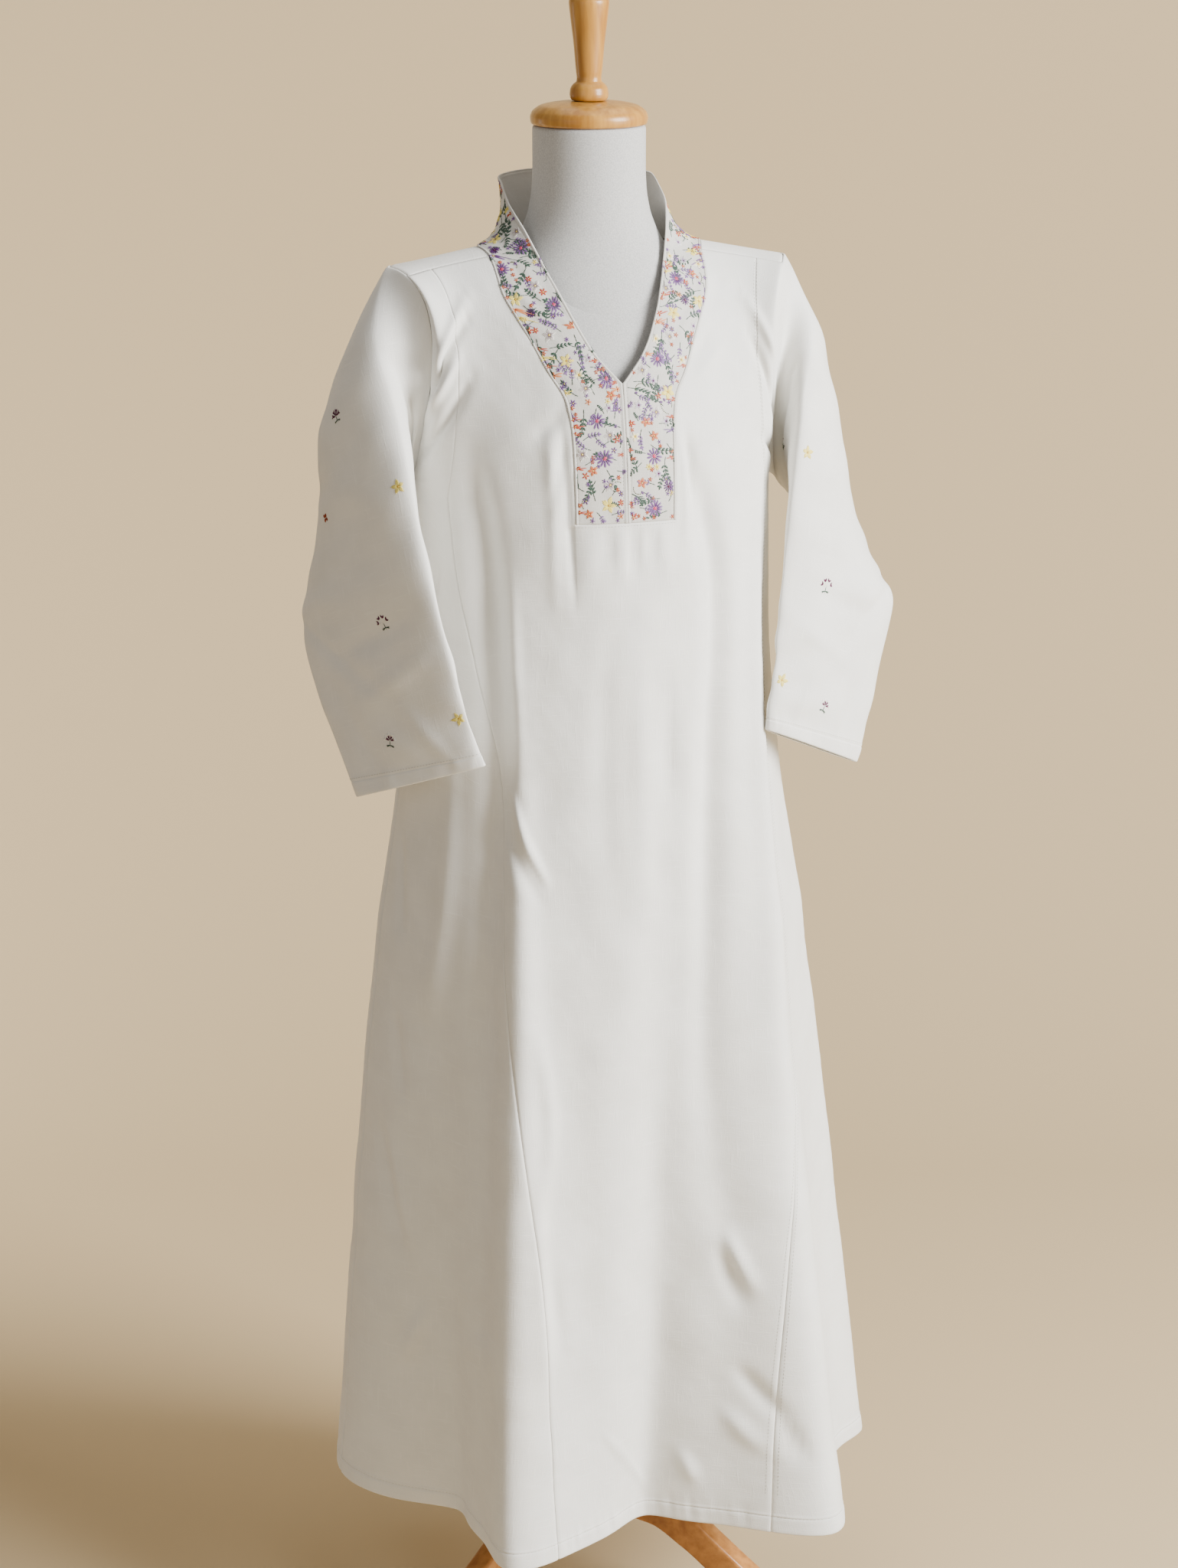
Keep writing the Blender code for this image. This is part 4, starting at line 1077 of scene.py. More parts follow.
# Torso rings under the armholes: height, half width, depth in front, depth behind. Above them
# the shares of the way up, where the form keeps a gap to the cloth until near the shoulder
FORM_RINGS = ((0.760, 0.140, 0.098, 0.094), (0.775, 0.152, 0.108, 0.102), (0.840, 0.156, 0.112, 0.106),
              (0.950, 0.122, 0.092, 0.086), (1.010, 0.117, 0.090, 0.084), (1.100, 0.140, 0.112, 0.094),
              (1.150, 0.152, 0.122, 0.100))
FORM_SHARES = (0.16, 0.30, 0.44, 0.58, 0.70, 0.80, 0.88, 0.94, 0.975)
FORM_WIDTH_SHARE = 0.87
FORM_NARROWING = 0.04
FORM_SIDE_SHARE = 0.985
FORM_COLUMNS = 15
SOLID_CLOTH_HALF = 0.0006
# Neck rings: height, half width, depth in front, depth behind
NECK_RINGS = (
    (1.330, 0.097, 0.0865, 0.0640), (1.345, 0.096, 0.0835, 0.0635), (1.360, 0.094, 0.0785, 0.0625),
    (1.380, 0.088, 0.0700, 0.0600), (1.395, 0.080, 0.0640, 0.0580), (1.405, 0.0735, 0.0608, 0.0568),
    (1.415, 0.0672, 0.0580, 0.0555), (1.425, 0.0620, 0.0558, 0.0545), (1.440, 0.0565, 0.0538, 0.0533),
    (1.460, 0.0530, 0.0525, 0.0524), (1.480, 0.0521, 0.0521, 0.0521), (1.5130, 0.0521, 0.0521, 0.0521),
    (1.5155, 0.0516, 0.0516, 0.0516), (1.5165, 0.0500, 0.0500, 0.0500))
# Turned profiles: height, radius
CAP = (
    (1.5170, 0.0500), (1.5178, 0.0526), (1.5205, 0.0538), (1.5240, 0.0540), (1.5280, 0.0528),
    (1.5310, 0.0500), (1.5345, 0.0440), (1.5368, 0.0330), (1.5378, 0.0230), (1.5380, 0.0180))
FINIAL = (
    (1.5381, 0.0100), (1.5386, 0.0150), (1.5410, 0.0172), (1.5440, 0.0178), (1.5490, 0.0172),
    (1.5530, 0.0148), (1.5560, 0.0116), (1.5590, 0.0113), (1.5640, 0.0119), (1.5900, 0.0143),
    (1.6200, 0.0179), (1.6265, 0.0184), (1.6293, 0.0172), (1.6300, 0.0140))
POLE_RADIUS = 0.014
HUB_RADIUS = 0.034
HUB_Z = (0.105, 0.160)
HUB_EDGE = ((0.0, 0.004), (0.0012, 0.0012), (0.004, 0.0))
LEG_ANGLES = (-155.0, -35.0, 85.0)
LEG_WIDTH = 0.026
LEG_EASE = 0.0045
LEG_PATH = ((0.0343, 0.143), (0.070, 0.141), (0.105, 0.124), (0.141, 0.095), (0.180, 0.064),
            (0.215, 0.039), (0.250, 0.026), (0.280, 0.018))
LEG_DEPTHS = (0.036, 0.040, 0.043, 0.042, 0.040, 0.038, 0.026, 0.018)


def form_grid():
    """Rings of the padded torso: plain ellipses below, the inside of the cloth above."""
    share = np.sin(np.radians(np.linspace(-90, 90, FORM_COLUMNS + 2)[1:-1])) * FORM_SIDE_SHARE
    rows = []
    for z, half, front, back in FORM_RINGS:
        level, rest = np.full(len(share), z), np.sqrt(1 - share ** 2)
        ahead = np.stack([half * share, -front * rest, level], -1)
        behind = np.stack([half * share[::-1], back * rest, level], -1)
        rows.append(np.r_[ahead, behind])
    first = len(rows)
    shares = np.array(FORM_SHARES)
    gaps = np.interp(shares, (0.0, FORM_SHARES[-2], FORM_SHARES[-1]), (FORM_GAP, FORM_GAP, FORM_REST_GAP))
    for w in shares:
        spans = share * (FORM_WIDTH_SHARE - FORM_NARROWING * w)
        ahead = upper_point(share_angle(spans, True), w)
        behind = upper_point(share_angle(spans[::-1], False), w)
        rows.append(np.r_[ahead, behind])
    grid = np.array(rows)
    round_grid = np.roll(grid, -1, axis=1) - np.roll(grid, 1, axis=1)
    normal = np.cross(round_grid, np.gradient(grid, axis=0))
    normal /= np.linalg.norm(normal, axis=2)[:, :, None]
    grid[first:] -= normal[first:] * (SOLID_CLOTH_HALF + gaps[:, None, None])
    return grid + MOVE


def make_solid(name, grid, material, node=None):
    """A closed body from rings of points, each closed on itself."""
    mesh = grid_mesh(np.concatenate([grid, grid[:, :1]], axis=1))
    bmesh.ops.remove_doubles(mesh, verts=mesh.verts[:], dist=1e-6)
    bmesh.ops.holes_fill(mesh, edges=[edge for edge in mesh.edges if edge.is_boundary])
    bmesh.ops.recalc_face_normals(mesh, faces=mesh.faces[:])
    data = mesh_data(mesh, name)
    data.set_sharp_from_angle(angle=math.radians(50))
    return show(name, data, material, (node,) if node else ())


def build_form():
    """The jersey torso and its neck. Returns the torso."""
    torso = make_solid("jersey_torso", form_grid(), JERSEY, "dress_form")
    smooth = torso.modifiers.new("smooth", 'SUBSURF')
    smooth.levels = smooth.render_levels = 2
    rows = []
    phi = np.linspace(0, 360, 97)[:-1]
    turn = np.radians(phi)
    for z in np.r_[np.linspace(1.330, 1.512, 56), 1.5135, 1.5150, 1.5160, 1.5165]:
        radius = oval_radius(NECK_RINGS, phi, z)
        rows.append(np.stack([radius * np.sin(turn), -radius * np.cos(turn), z + 0 * turn], -1))
    make_solid("jersey_neck", np.array(rows) + MOVE, JERSEY)
    return torso


def build_leg(number, angle):
    """A curved plank from the hub down to a foot that lies flat on the floor, edges eased."""
    turn = math.radians(angle)
    out, side = np.array((math.cos(turn), math.sin(turn))), np.array((-math.sin(turn), math.cos(turn)))
    values = along([(*row, depth) for row, depth in zip(LEG_PATH, LEG_DEPTHS)], np.linspace(0, 1, 49))
    corner = np.radians(np.linspace(0, 90, 5))
    rings = []
    for reach, top, depth in values:
        low = max(top - depth, 0.0)
        ease = min(LEG_EASE, (top - low) * 0.3)
        half = LEG_WIDTH / 2 - ease
        sin, cos = ease * np.sin(corner), ease * np.cos(corner)
        across = np.r_[half + sin, half + cos, -half - sin, -half - cos]
        up = np.r_[top - ease + cos, low + ease - sin, low + ease - cos, top - ease + sin]
        flat = out[None] * reach + side[None] * across[:, None]
        rings.append(np.c_[flat, up])
    # The legs take the darker wood: honey varnish with painted shade
    return make_solid(f"carved_leg_{number}", np.array(rings) + MOVE, DARK_WOOD_AND_SHADED_HONEY, f"leg_{number}")


def build_stand():
    """Cap, finial, pole, hub and legs."""
    make_turned("neck_cap_turned", rounded(CAP), HONEY, 96, "neck_cap")
    make_turned("finial_turned", rounded(FINIAL), HONEY, 64, "finial")
    pole = [(z, POLE_RADIUS) for z in (HUB_Z[1] + 0.0003, 0.46, 0.7597)]
    make_turned("pole_turned", pole, DARK_WOOD_AND_SHADED_HONEY, 40, "pole")
    hub = [(HUB_Z[0] + up, HUB_RADIUS - inward) for up, inward in HUB_EDGE]
    hub += [(HUB_Z[1] - down, HUB_RADIUS - inward) for down, inward in HUB_EDGE[::-1]]
    make_turned("hub_turned", rounded(hub, 4), DARK_WOOD_AND_SHADED_HONEY, 72, "hub")
    for number, angle in enumerate(LEG_ANGLES, 1):
        build_leg(number, angle)


# Thread work, laid on the finished cloth grids

# Faces across and along a stitch, and how deep its rim sits in the cloth
STITCH_ACROSS = 2
STITCH_ALONG = 4
STITCH_LIFT = 0.00012
STITCH_SINK = 0.00008
SEWING_WIDTH = 0.00050
SEWING_HEIGHT = 0.00028
# How far the kinds of stitch stand out
PETAL = 0.00065
LEAF = 0.00060
RIM = 0.00070
KNOT = 0.00075
DOT = 0.00055
STEM = 0.00050
THREADS = {
    "plum": (0.095, 0.010, 0.050), "purple": (0.090, 0.022, 0.125), "lilac": (0.240, 0.135, 0.330),
    "pink": (0.540, 0.050, 0.130), "yellow": (0.840, 0.700, 0.180), "coral": (0.480, 0.075, 0.040),
    "rust": (0.280, 0.045, 0.015), "peach": (0.720, 0.270, 0.110), "white": (0.900, 0.880, 0.820),
    "leaf": (0.050, 0.090, 0.066), "olive": (0.110, 0.120, 0.040), "sewing": (0.560, 0.550, 0.500),
    "gold": (0.560, 0.340, 0.040),
}


def sample(grid, i, j):
    """Points between the vertices of a grid, at fractions of rows and columns."""
    i = np.clip(i, 0, grid.shape[0] - 1.0001)
    j = np.clip(j, 0, grid.shape[1] - 1.0001)
    a, b = i.astype(int), j.astype(int)
    s, t = (i - a)[..., None], (j - b)[..., None]
    low = grid[a, b] * (1 - t) + grid[a, b + 1] * t
    high = grid[a + 1, b] * (1 - t) + grid[a + 1, b + 1] * t
    return low * (1 - s) + high * s


class Needle:
    """Collects stitches for one grid of cloth and makes them into one mesh."""

    def __init__(self, placed, thickness):
        self.grid = placed
        self.out = normals_of(placed)
        self.lift = thickness / 2
        self.stitches = []

    def frame_at(self, i, j):
        """Place, across and up directions, and metres per column and row."""
        i, j = np.asarray(i, float), np.asarray(j, float)
        here = sample(self.grid, i, j)
        per_column = sample(self.grid, i, j + 0.5) - sample(self.grid, i, j - 0.5)
        per_row = sample(self.grid, i + 0.5, j) - sample(self.grid, i - 0.5, j)
        return here, per_column, per_row

    def add(self, i, j, dx, dy, turn, length, width, height, root, tip):
        """One stitch dx across and dy up from a place on the grid, in metres."""
        self.stitches.append((i, j, dx, dy, turn, length, width, height, THREADS[root], THREADS[tip]))

    def ray(self, i, j, reach, turn, lean, length, width, height, root, tip, start=(0.0, 0.0)):
        """One stitch centred at a reach and a turn from a start, lying at its own lean."""
        x, y = start[0] + reach * math.cos(turn), start[1] + reach * math.sin(turn)
        self.add(i, j, x, y, lean, length, width, height, root, tip)

    def places(self, rows):
        """Points of every stitch's small grid, and how far along the stitch each lies."""
        t, s = np.meshgrid(np.linspace(0, 1, STITCH_ALONG + 1), np.linspace(-1, 1, STITCH_ACROSS + 1),
                           indexing='ij')
        t, s = t.ravel(), s.ravel()
        body = np.sqrt(np.clip(1 - (2 * t - 1) ** 4, 0, 1)) * 0.9 + 0.1
        i, j, dx, dy, turn, length, width, height = rows.T[:, :, None]
        x = (t[None] - 0.5) * length
        y = s[None] * body[None] * width / 2
        swell = np.sin(np.pi * np.clip(t, 0.06, 0.94))[None] ** 0.5
        up = height * (1 - np.abs(s)[None]) * swell - STITCH_SINK
        across = dx + x * np.cos(turn) - y * np.sin(turn)
        rise = dy + x * np.sin(turn) + y * np.cos(turn)
        _, per_column, per_row = self.frame_at(rows[:, 0], rows[:, 1])
        column_length = np.linalg.norm(per_column, axis=1)
        unit = per_column / column_length[:, None]
        slant = (per_row * unit).sum(axis=1)
        upward = np.linalg.norm(per_row - slant[:, None] * unit, axis=1)
        di = rise / upward[:, None]
        dj = (across - di * slant[:, None]) / column_length[:, None]
        i, j = i + di, j + dj
        out = sample(self.out, i, j) * (self.lift + STITCH_LIFT + up)[..., None]
        return sample(self.grid, i, j) + out, t

    def build(self, name):
        """One mesh of all the stitches, each vertex with its thread's colour."""
        root, tip = (np.array([stitch[k] for stitch in self.stitches])[:, None] for k in (8, 9))
        points, t = self.places(np.array([stitch[:8] for stitch in self.stitches], float))
        columns = STITCH_ACROSS + 1
        mesh = grid_mesh(points.reshape(-1, columns, 3))
        drop_cells(mesh, columns, lambda row, column: (row + 1) % (STITCH_ALONG + 1))
        data = mesh_data(mesh, name)
        t = t[None, :, None]
        colour = root * (1 - t) + tip * t
        rgba = np.concatenate([colour, np.ones((*colour.shape[:2], 1))], axis=2)
        layer = data.attributes.new("thread", 'FLOAT_COLOR', 'POINT')
        layer.data.foreach_set("color", rgba.ravel().astype(np.float32))
        return show(name, data, THREAD)

    def line(self, i, j, pitch=0.0036, stitch=0.0024):
        """Running stitches along a path of grid places."""
        i, j = np.broadcast_arrays(np.asarray(i, float), np.asarray(j, float))
        length = arc_of(sample(self.grid, i, j))
        for at in np.arange(pitch / 2, length[-1], pitch):
            if at + 0.001 > length[-1]:
                continue
            ci, cj = np.interp(at, length, i), np.interp(at, length, j)
            ni, nj = np.interp(at + 0.001, length, i), np.interp(at + 0.001, length, j)
            here, per_column, per_row = self.frame_at(np.array([ci]), np.array([cj]))
            unit = per_column[0] / np.linalg.norm(per_column[0])
            run = sample(self.grid, np.array([ni]), np.array([nj]))[0] - here[0]
            rise = per_row[0] - (per_row[0] @ unit) * unit
            rise /= np.linalg.norm(rise)
            turn = math.atan2(run @ rise, run @ unit)
            self.add(ci, cj, 0.0, 0.0, turn, stitch, SEWING_WIDTH, SEWING_HEIGHT, "sewing", "sewing")


def petals(needle, pick, i, j, count, radius, strands, root, tip, spread, start, width):
    """A ring of petals, each of a few strands side by side."""
    turn0 = pick.uniform(0, 2 * math.pi)
    for k in range(count):
        turn = turn0 + 2 * math.pi * k / count + pick.uniform(-0.06, 0.06)
        for s in range(strands):
            side = s - (strands - 1) / 2
            lean = side * spread / strands
            reach = radius * (1 - 0.16 * abs(side)) * pick.uniform(0.94, 1.05)
            angle = turn + lean * 0.8
            needle.ray(i, j, reach * (1 + start) / 2, angle, angle + lean * 0.25, reach * (1 - start),
                       width * pick.uniform(1.0, 1.2), PETAL, root, tip)


def knot(needle, pick, i, j, radius, colour):
    """A padded middle of three short crossed stitches."""
    for k in range(3):
        turn = k * math.pi / 3 + pick.uniform(-0.2, 0.2)
        needle.add(i, j, 0.0, 0.0, turn, radius * 2, radius * 1.1, KNOT, colour, colour)


def daisy(needle, pick, i, j, size, petal="purple", tip="lilac", heart="pink"):
    """A flower of many narrow petals."""
    petals(needle, pick, i, j, pick.choice((11, 12, 13)), size, 2, petal, tip, 0.26, 0.20, size * 0.15)
    knot(needle, pick, i, j, size * 0.24, heart)


def blossom(needle, pick, i, j, size, petal, tip, heart):
    """A flower of five broad petals."""
    petals(needle, pick, i, j, 5, size, 5, petal, tip, 1.00, 0.14, size * 0.19)
    knot(needle, pick, i, j, size * 0.17, heart)


def star(needle, pick, i, j, size, petal, tip, heart):
    """A small flower of five or six petals."""
    petals(needle, pick, i, j, pick.choice((5, 6)), size, 2, petal, tip, 0.30, 0.10, size * 0.30)
    knot(needle, pick, i, j, size * 0.20, heart)


def sprig(needle, pick, i, j, size, leaf="leaf"):
    """A short curved stem with pairs of leaves and a leaf at its tip."""
    turn = pick.uniform(0, 2 * math.pi)
    bend = pick.uniform(-0.9, 0.9)
    x = y = 0.0
    steps = 5
    part = size * 2 / steps
    for k in range(steps):
        needle.ray(i, j, part / 2, turn, turn, part * 1.25, 0.00075, STEM, "leaf", "leaf", (x, y))
        x, y = x + part * math.cos(turn), y + part * math.sin(turn)
        length = size * 0.50 * (1 - 0.08 * k)
        for side in (-1, 1) if k > 0 else ():
            angle = turn + side * 0.85
            width = size * 0.17 + 0.0003
            needle.ray(i, j, length * 0.55, angle, angle, length, width, LEAF, leaf, leaf, (x, y))
        turn += bend / steps
    needle.ray(i, j, size * 0.25, turn, turn, size * 0.55, size * 0.20, LEAF, leaf, leaf, (x, y))


def fan(needle, pick, i, j, size, root, tip):
    """Half a flower: four split petals spread over a short stem with two leaves."""
    up = math.pi / 2 + pick.uniform(-0.5, 0.5)
    for k in range(4):
        turn = up + (k - 1.5) * 0.82
        for side in (-0.20, -0.07, 0.07, 0.20):
            far = size * (1.0 if abs(side) > 0.1 else 0.90)
            needle.ray(i, j, far * 0.42, turn + side * 0.7, turn + side, far * 0.62, size * 0.13,
                       LEAF, root, root)
            needle.ray(i, j, far * 0.84, turn + side, turn + side * 1.6, far * 0.40, size * 0.15,
                       RIM, tip, tip)
    down = up + math.pi
    needle.ray(i, j, size * 0.40, down, down, size * 0.85, size * 0.10, LEAF, "leaf", "leaf")
    fork = (size * 0.55 * math.cos(down), size * 0.55 * math.sin(down))
    for side in (-1, 1):
        for bend in (0.0, 0.25):
            turn = down + side * (1.15 + bend)
            needle.ray(i, j, size * 0.34, turn, turn, size * 0.66, size * 0.13, LEAF, "leaf", "leaf", fork)


def dotted_stem(needle, pick, i, j, size):
    """A curl of small dots that ends in three buds."""
    turn, bend = pick.uniform(0, 2 * math.pi), pick.choice((-1, 1)) * pick.uniform(0.16, 0.30)
    x = y = 0.0
    for _ in range(8):
        needle.add(i, j, x, y, turn, 0.0012, 0.0009, DOT, "olive", "olive")
        x, y = x + size * 0.27 * math.cos(turn), y + size * 0.27 * math.sin(turn)
        turn += bend
    for lean in (-0.8, 0.0, 0.8):
        needle.ray(i, j, 0.0010, turn + lean, turn + lean, 0.0024, 0.0014, PETAL, "lilac", "purple", (x, y))


# Kinds of motif: share of the draws, reach, what is worked, its smallest and largest size, colours
LARGE = (
    (0.45, 0.0088, daisy, 0.0080, 0.0092),
    (0.55, 0.0078, blossom, 0.0070, 0.0080, "yellow", "yellow", "gold"),
)
MIDDLE = (
    (0.20, 0.0066, blossom, 0.0060, 0.0070, "plum", "white", "yellow"),
    (0.24, 0.0056, daisy, 0.0050, 0.0060, "purple", "purple", "plum"),
    (0.20, 0.0056, blossom, 0.0050, 0.0060, "yellow", "white", "gold"),
    (0.16, 0.0052, blossom, 0.0046, 0.0056, "coral", "peach", "yellow"),
    (0.20, 0.0050, blossom, 0.0044, 0.0054, "lilac", "white", "plum"),
)
SPRAYS = (
    (0.62, 0.0072, sprig, 0.0078, 0.0100),
    (0.38, 0.0066, sprig, 0.0064, 0.0080, "lilac"),
)
SMALL = (
    (0.34, 0.0036, star, 0.0034, 0.0042, "coral", "coral", "yellow"),
    (0.16, 0.0034, star, 0.0032, 0.0040, "purple", "lilac", "yellow"),
    (0.14, 0.0034, star, 0.0030, 0.0038, "peach", "peach", "rust"),
    (0.14, 0.0030, star, 0.0028, 0.0036, "yellow", "yellow", "gold"),
    (0.22, 0.0042, dotted_stem, 0.0050, 0.0064),
)
TINY = (
    (0.45, 0.0032, sprig, 0.0036, 0.0046),
    (0.30, 0.0022, star, 0.0021, 0.0027, "coral", "coral", "yellow"),
    (0.25, 0.0022, star, 0.0021, 0.0027, "lilac", "lilac", "purple"),
)
# Rounds of scattering on the band: kinds, tries, and how far apart by their reaches
ROUNDS = ((LARGE, 90, 1.55), (MIDDLE, 260, 1.10), (SPRAYS, 3000, 0.62), (MIDDLE, 300, 0.85),
          (SMALL, 1500, 0.74), (TINY, 2400, 0.72))


def choose(pick, kinds):
    """A kind of motif drawn by its share."""
    at = pick.uniform(0, sum(kind[0] for kind in kinds))
    for kind in kinds:
        at -= kind[0]
        if at <= 0:
            return kind
    return kinds[-1]


def scatter(needle, pick, kinds, tries, taken, inside, gap):
    """Motifs at random places that keep clear of each other and of the cloth's edges."""
    rows, columns = needle.grid.shape[:2]
    for _ in range(tries):
        i, j = pick.uniform(1, rows - 2), pick.uniform(1, columns - 2)
        _, reach, make, low, high, *colours = choose(pick, kinds)
        if not inside(i, j, reach):
            continue
        place = sample(needle.grid, np.array([i]), np.array([j]))[0]
        if taken:
            others = np.array(taken)
            if (np.linalg.norm(others[:, :3] - place, axis=1) < (others[:, 3] + reach) * gap).any():
                continue
        taken.append((*place, reach))
        make(needle, pick, i, j, pick.uniform(low, high), *colours)


def inside_grid(needle, margin):
    """A test for places at least their reach plus a margin from the grid's edges."""
    around, up = np.moveaxis(flat_lengths(needle.grid, 0), -1, 0)

    def test(i, j, reach):
        row, column = int(round(i)), int(round(j))
        side = min(around[row, column], around[row, -1] - around[row, column])
        end = min(up[row, column], up[-1, column] - up[row, column])
        return side > reach + margin and end > reach + margin * 0.6
    return test


def work_band(name, placed, left, seed):
    """The dense scatter of flowers on one half of the band, and its edge stitching."""
    pick = random.Random(seed)
    needle = Needle(placed, BAND_CLOTH)
    test = inside_grid(needle, 0.0012)
    taken = []
    for kinds, tries, gap in ROUNDS:
        scatter(needle, pick, kinds, tries, taken, test, gap)
    rows = np.arange(1, placed.shape[0] - 1)
    for distance, outer in ((BAND_STITCH_LINE, True), (BAND_STITCH_IN, False)):
        columns = []
        for row in rows:
            where = arc_of(placed[row])
            goal = distance if outer != left else where[-1] - distance
            columns.append(np.interp(goal, where, np.arange(len(where))))
        needle.line(rows, columns, pitch=0.0030, stitch=0.0022)
    return needle.build(name)


def work_sleeve(name, placed, motifs, seed):
    """Single flowers spread over a sleeve, and the cuff's stitching."""
    pick = random.Random(seed)
    needle = Needle(placed, CLOTH)
    rows, columns = placed.shape[:2]
    for round_share, down_share, kind in motifs:
        make, *values = SLEEVE_FLOWERS[kind]
        make(needle, pick, (1 - down_share) * (rows - 1), round_share * (columns - 1), *values)
    climb = np.linalg.norm(np.diff(placed, axis=0), axis=2).mean(axis=1)
    row = float(np.interp(HEM_STITCH, np.r_[0.0, np.cumsum(climb)], np.arange(rows)))
    needle.line(row, np.linspace(0.5, columns - 1.5, 200), pitch=0.0034)
    return needle.build(name)


# Flowers of the sleeves, and where they sit: share round the sleeve, share down it, kind
SLEEVE_FLOWERS = {
    "bud": (fan, 0.0066, "plum", "plum"),
    "cross": (petals, 4, 0.0050, 4, "rust", "rust", 1.10, 0.10, 0.0012),
    "pale_fan": (fan, 0.0080, "white", "plum"),
    "dark_fan": (fan, 0.0076, "plum", "white"),
    "yellow": (blossom, 0.0070, "yellow", "yellow", "gold"),
}
LEFT_SPOTS = (
    (0.560, 0.388, "yellow"), (0.685, 0.605, "pale_fan"), (0.570, 0.806, "yellow"),
    (0.730, 0.853, "dark_fan"), (0.300, 0.280, "bud"), (0.200, 0.550, "pale_fan"),
    (0.280, 0.740, "cross"), (0.150, 0.900, "dark_fan"))
RIGHT_SPOTS = (
    (0.324, 0.233, "bud"), (0.216, 0.349, "cross"), (0.306, 0.605, "pale_fan"), (0.243, 0.845, "dark_fan"),
    (0.440, 0.403, "yellow"), (0.440, 0.814, "yellow"), (0.700, 0.300, "bud"), (0.800, 0.550, "pale_fan"),
    (0.720, 0.740, "cross"), (0.850, 0.900, "dark_fan"))
# Grid places of the sewing on the body: the hem's row, the first row above the hem, and the
# column of the topstitching beside a princess seam
HEM_STITCH_ROW = 8.2
ABOVE_HEM_ROW = 16
TOPSTITCH_COLUMN = 3.0


def sew_hem(needle, count):
    """The stitched line of a hem, one column short of both edges."""
    needle.line(HEM_STITCH_ROW, np.linspace(1, needle.grid.shape[1] - 2, count))


def sew_seam(needle, from_end):
    """The topstitching beside a princess seam."""
    rows = np.arange(ABOVE_HEM_ROW, needle.grid.shape[0] - 2)
    column = needle.grid.shape[1] - 1 - TOPSTITCH_COLUMN if from_end else TOPSTITCH_COLUMN
    needle.line(rows, np.full(len(rows), column))


def work_centre_front(placed, foot, side_columns):
    """The topstitched left princess seam, the hem and the line under the placket."""
    needle = Needle(placed, CLOTH)
    sew_seam(needle, True)
    sew_hem(needle, 300)
    last = placed.shape[1] - 1
    under_placket = np.linspace(side_columns - 3.4, last - side_columns + 3.4, 60)
    needle.line(foot - 1.6, under_placket, pitch=0.0030, stitch=0.0021)
    return needle.build("sewing_on_the_centre_front")


def work_panel(name, placed, count, seam=False):
    """A panel's hem, and the topstitching beside its seam."""
    needle = Needle(placed, CLOTH)
    if seam:
        sew_seam(needle, False)
    sew_hem(needle, count)
    return needle.build(name)


# Studio

PAPER = (0.52, 0.405, 0.245)
BEND_BEHIND = 1.1
BEND_RADIUS = 1.3
SWEEP_AHEAD = 7.0
SWEEP_TOP = 5.5
VIEW_TURN = math.radians(-15.0)
VIEW_TILT = math.radians(16.7)
VIEW_REACH = 3.0
VIEW_HEIGHT = 1.787
# Soft boxes: name, place, what it points at, width and height, watts, colour
SOFT_BOXES = (
    ("key", (2.35, -2.15, 2.2), (0.0, -0.05, 0.90), (1.7, 2.0), 400.0, (1.0, 0.995, 0.975)),
    ("fill", (-2.6, -2.2, 1.6), (0.0, 0.0, 0.9), (2.0, 2.0), 10.0, (1.0, 0.97, 0.92)),
    ("top", (0.3, 0.4, 3.2), (0.0, 0.0, 1.0), (2.0, 2.0), 17.0, (1.0, 0.98, 0.95)),
    ("backdrop glow", (-1.5, 1.1, 0.8), (-0.3, 2.5, 1.0), (1.0, 1.2), 30.0, (1.0, 0.95, 0.86)),
)
AIR_COLOUR = (1.0, 0.95, 0.88, 1.0)
AIR_STRENGTH = 0.34


def paper_material():
    """Warm paper that is clear from behind, so that it never hides the back of the tunic."""
    material, nodes, links, shader = blank_material("warm paper", 0.9)
    shader.inputs["Base Color"].default_value = (*PAPER, 1.0)
    mix = nodes.new("ShaderNodeMixShader")
    links.new(nodes.new("ShaderNodeNewGeometry").outputs["Backfacing"], mix.inputs["Fac"])
    links.new(shader.outputs["BSDF"], mix.inputs[1])
    links.new(nodes.new("ShaderNodeBsdfTransparent").outputs["BSDF"], mix.inputs[2])
    links.new(mix.outputs["Shader"], nodes["Material Output"].inputs["Surface"])
    return material


def build_studio():
    """A pale floor that bends up into a backdrop behind the stand."""
    turn = np.linspace(0, math.pi / 2, 49)
    back = np.r_[-SWEEP_AHEAD, 0.0, BEND_BEHIND + BEND_RADIUS * np.sin(turn), BEND_BEHIND + BEND_RADIUS]
    height = np.r_[0.0, 0.0, BEND_RADIUS * (1 - np.cos(turn)), SWEEP_TOP]
    behind = np.array((-math.sin(VIEW_TURN), math.cos(VIEW_TURN)))
    beside = np.array((math.cos(VIEW_TURN), math.sin(VIEW_TURN)))
    rows = []
    for reach, z in zip(back, height):
        rows.append([(*(behind * reach + beside * aside), z) for aside in (-SWEEP_AHEAD, 0.0, SWEEP_AHEAD)])
    data = mesh_data(grid_mesh(np.array(rows) + MOVE), "studio_sweep")
    obj = bpy.data.objects.new("studio_sweep", data)
    bpy.context.scene.collection.objects.link(obj)
    data.materials.append(paper_material())


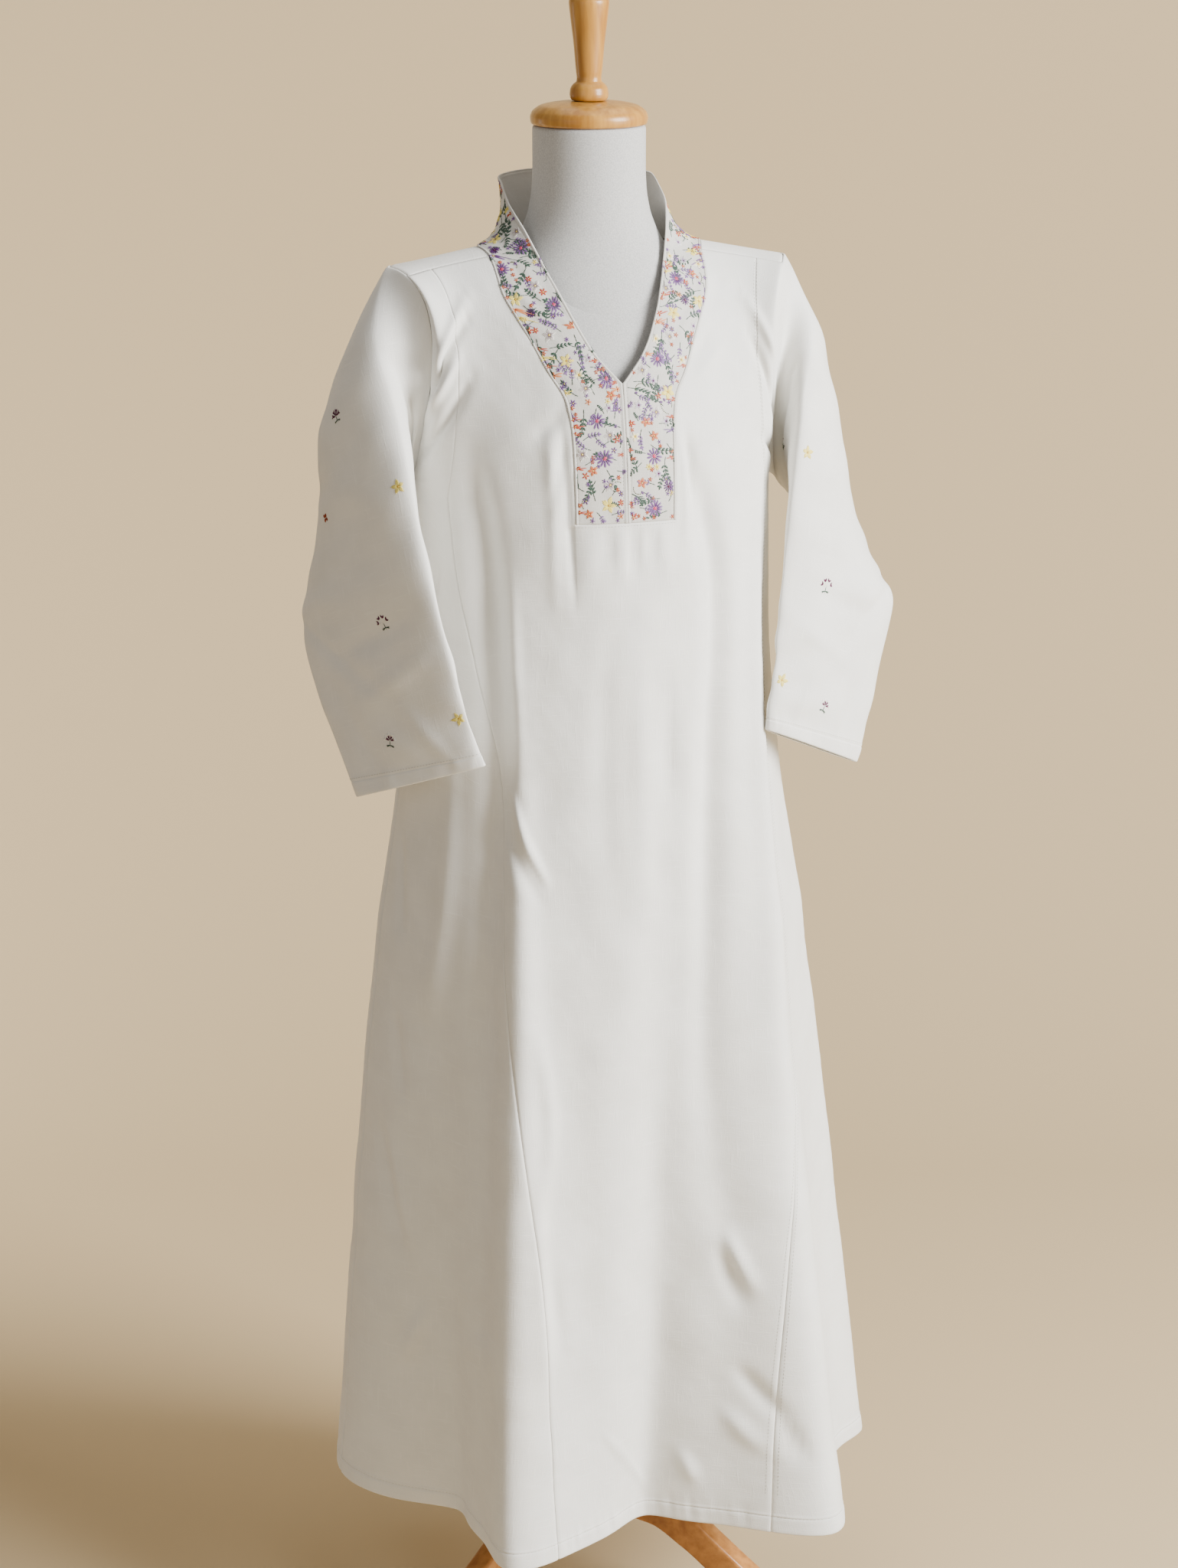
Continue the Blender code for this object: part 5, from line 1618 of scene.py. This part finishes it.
def build_lights():
    """Soft boxes and an even warm air."""
    for name, place, target, size, power, colour in SOFT_BOXES:
        lamp = bpy.data.lights.new(name, 'AREA')
        lamp.shape = 'RECTANGLE'
        lamp.size, lamp.size_y = size
        lamp.energy = power
        lamp.color = colour
        obj = bpy.data.objects.new(name, lamp)
        bpy.context.scene.collection.objects.link(obj)
        obj.location = place
        obj.rotation_euler = (Vector(target) - Vector(place)).to_track_quat('-Z', 'Y').to_euler()
    world = bpy.data.worlds.new("studio air")
    world.use_nodes = True
    world.node_tree.nodes["Background"].inputs[0].default_value = AIR_COLOUR
    world.node_tree.nodes["Background"].inputs[1].default_value = AIR_STRENGTH
    bpy.context.scene.world = world


def build_camera():
    """The photo's view: 3 m out, 15 degrees to the tunic's right, from shoulder height up."""
    lens = bpy.data.cameras.new("photo view")
    lens.sensor_fit = 'VERTICAL'
    lens.sensor_height = 36.0
    lens.lens = 74.07
    lens.dof.use_dof = False
    camera = bpy.data.objects.new("photo view", lens)
    bpy.context.scene.collection.objects.link(camera)
    ahead, aside = VIEW_REACH * math.cos(VIEW_TURN), VIEW_REACH * math.sin(VIEW_TURN)
    camera.location = (AXIS_X + aside, AXIS_Y - ahead, VIEW_HEIGHT)
    camera.rotation_euler = (math.pi / 2 - VIEW_TILT, 0.0, VIEW_TURN)
    bpy.context.scene.camera = camera


def main():
    front, front_grid, foot, side_columns = build_front_centre()
    side_right, side_right_grid = build_front_side("right_side_front", False, "front_side_right", 33)
    side_left, side_left_grid = build_front_side("left_side_front", True, "front_side_left", 35)
    back, back_grid = build_back()
    sleeve_right, sleeve_right_grid = build_sleeve("right_sleeve", SLEEVE_RIGHT, False, "sleeve_right", 61)
    sleeve_left, sleeve_left_grid = build_sleeve("left_sleeve", SLEEVE_LEFT, True, "sleeve_left", 67)
    band_right, band_right_grid = build_band("right_half_of_the_band", False, "band_right", 71)
    band_left, band_left_grid = build_band("left_half_of_the_band", True, "band_left", 73)
    torso = build_form()
    build_stand()
    flowers_right = work_band("embroidery_on_the_band_right", band_right_grid, False, 101)
    flowers_left = work_band("embroidery_on_the_band_left", band_left_grid, True, 103)
    work_right = work_sleeve("embroidery_on_the_right_sleeve", sleeve_right_grid, RIGHT_SPOTS, 107)
    work_left = work_sleeve("embroidery_on_the_left_sleeve", sleeve_left_grid, LEFT_SPOTS, 109)
    sewing_centre = work_centre_front(front_grid, foot, side_columns)
    sewing_left = work_panel("sewing_on_the_left_side", side_left_grid, 150, seam=True)
    sewing_right = work_panel("sewing_on_the_right_side", side_right_grid, 150)
    sewing_back = work_panel("sewing_on_the_back", back_grid, 500)
    build_studio()
    build_lights()
    build_camera()


main()
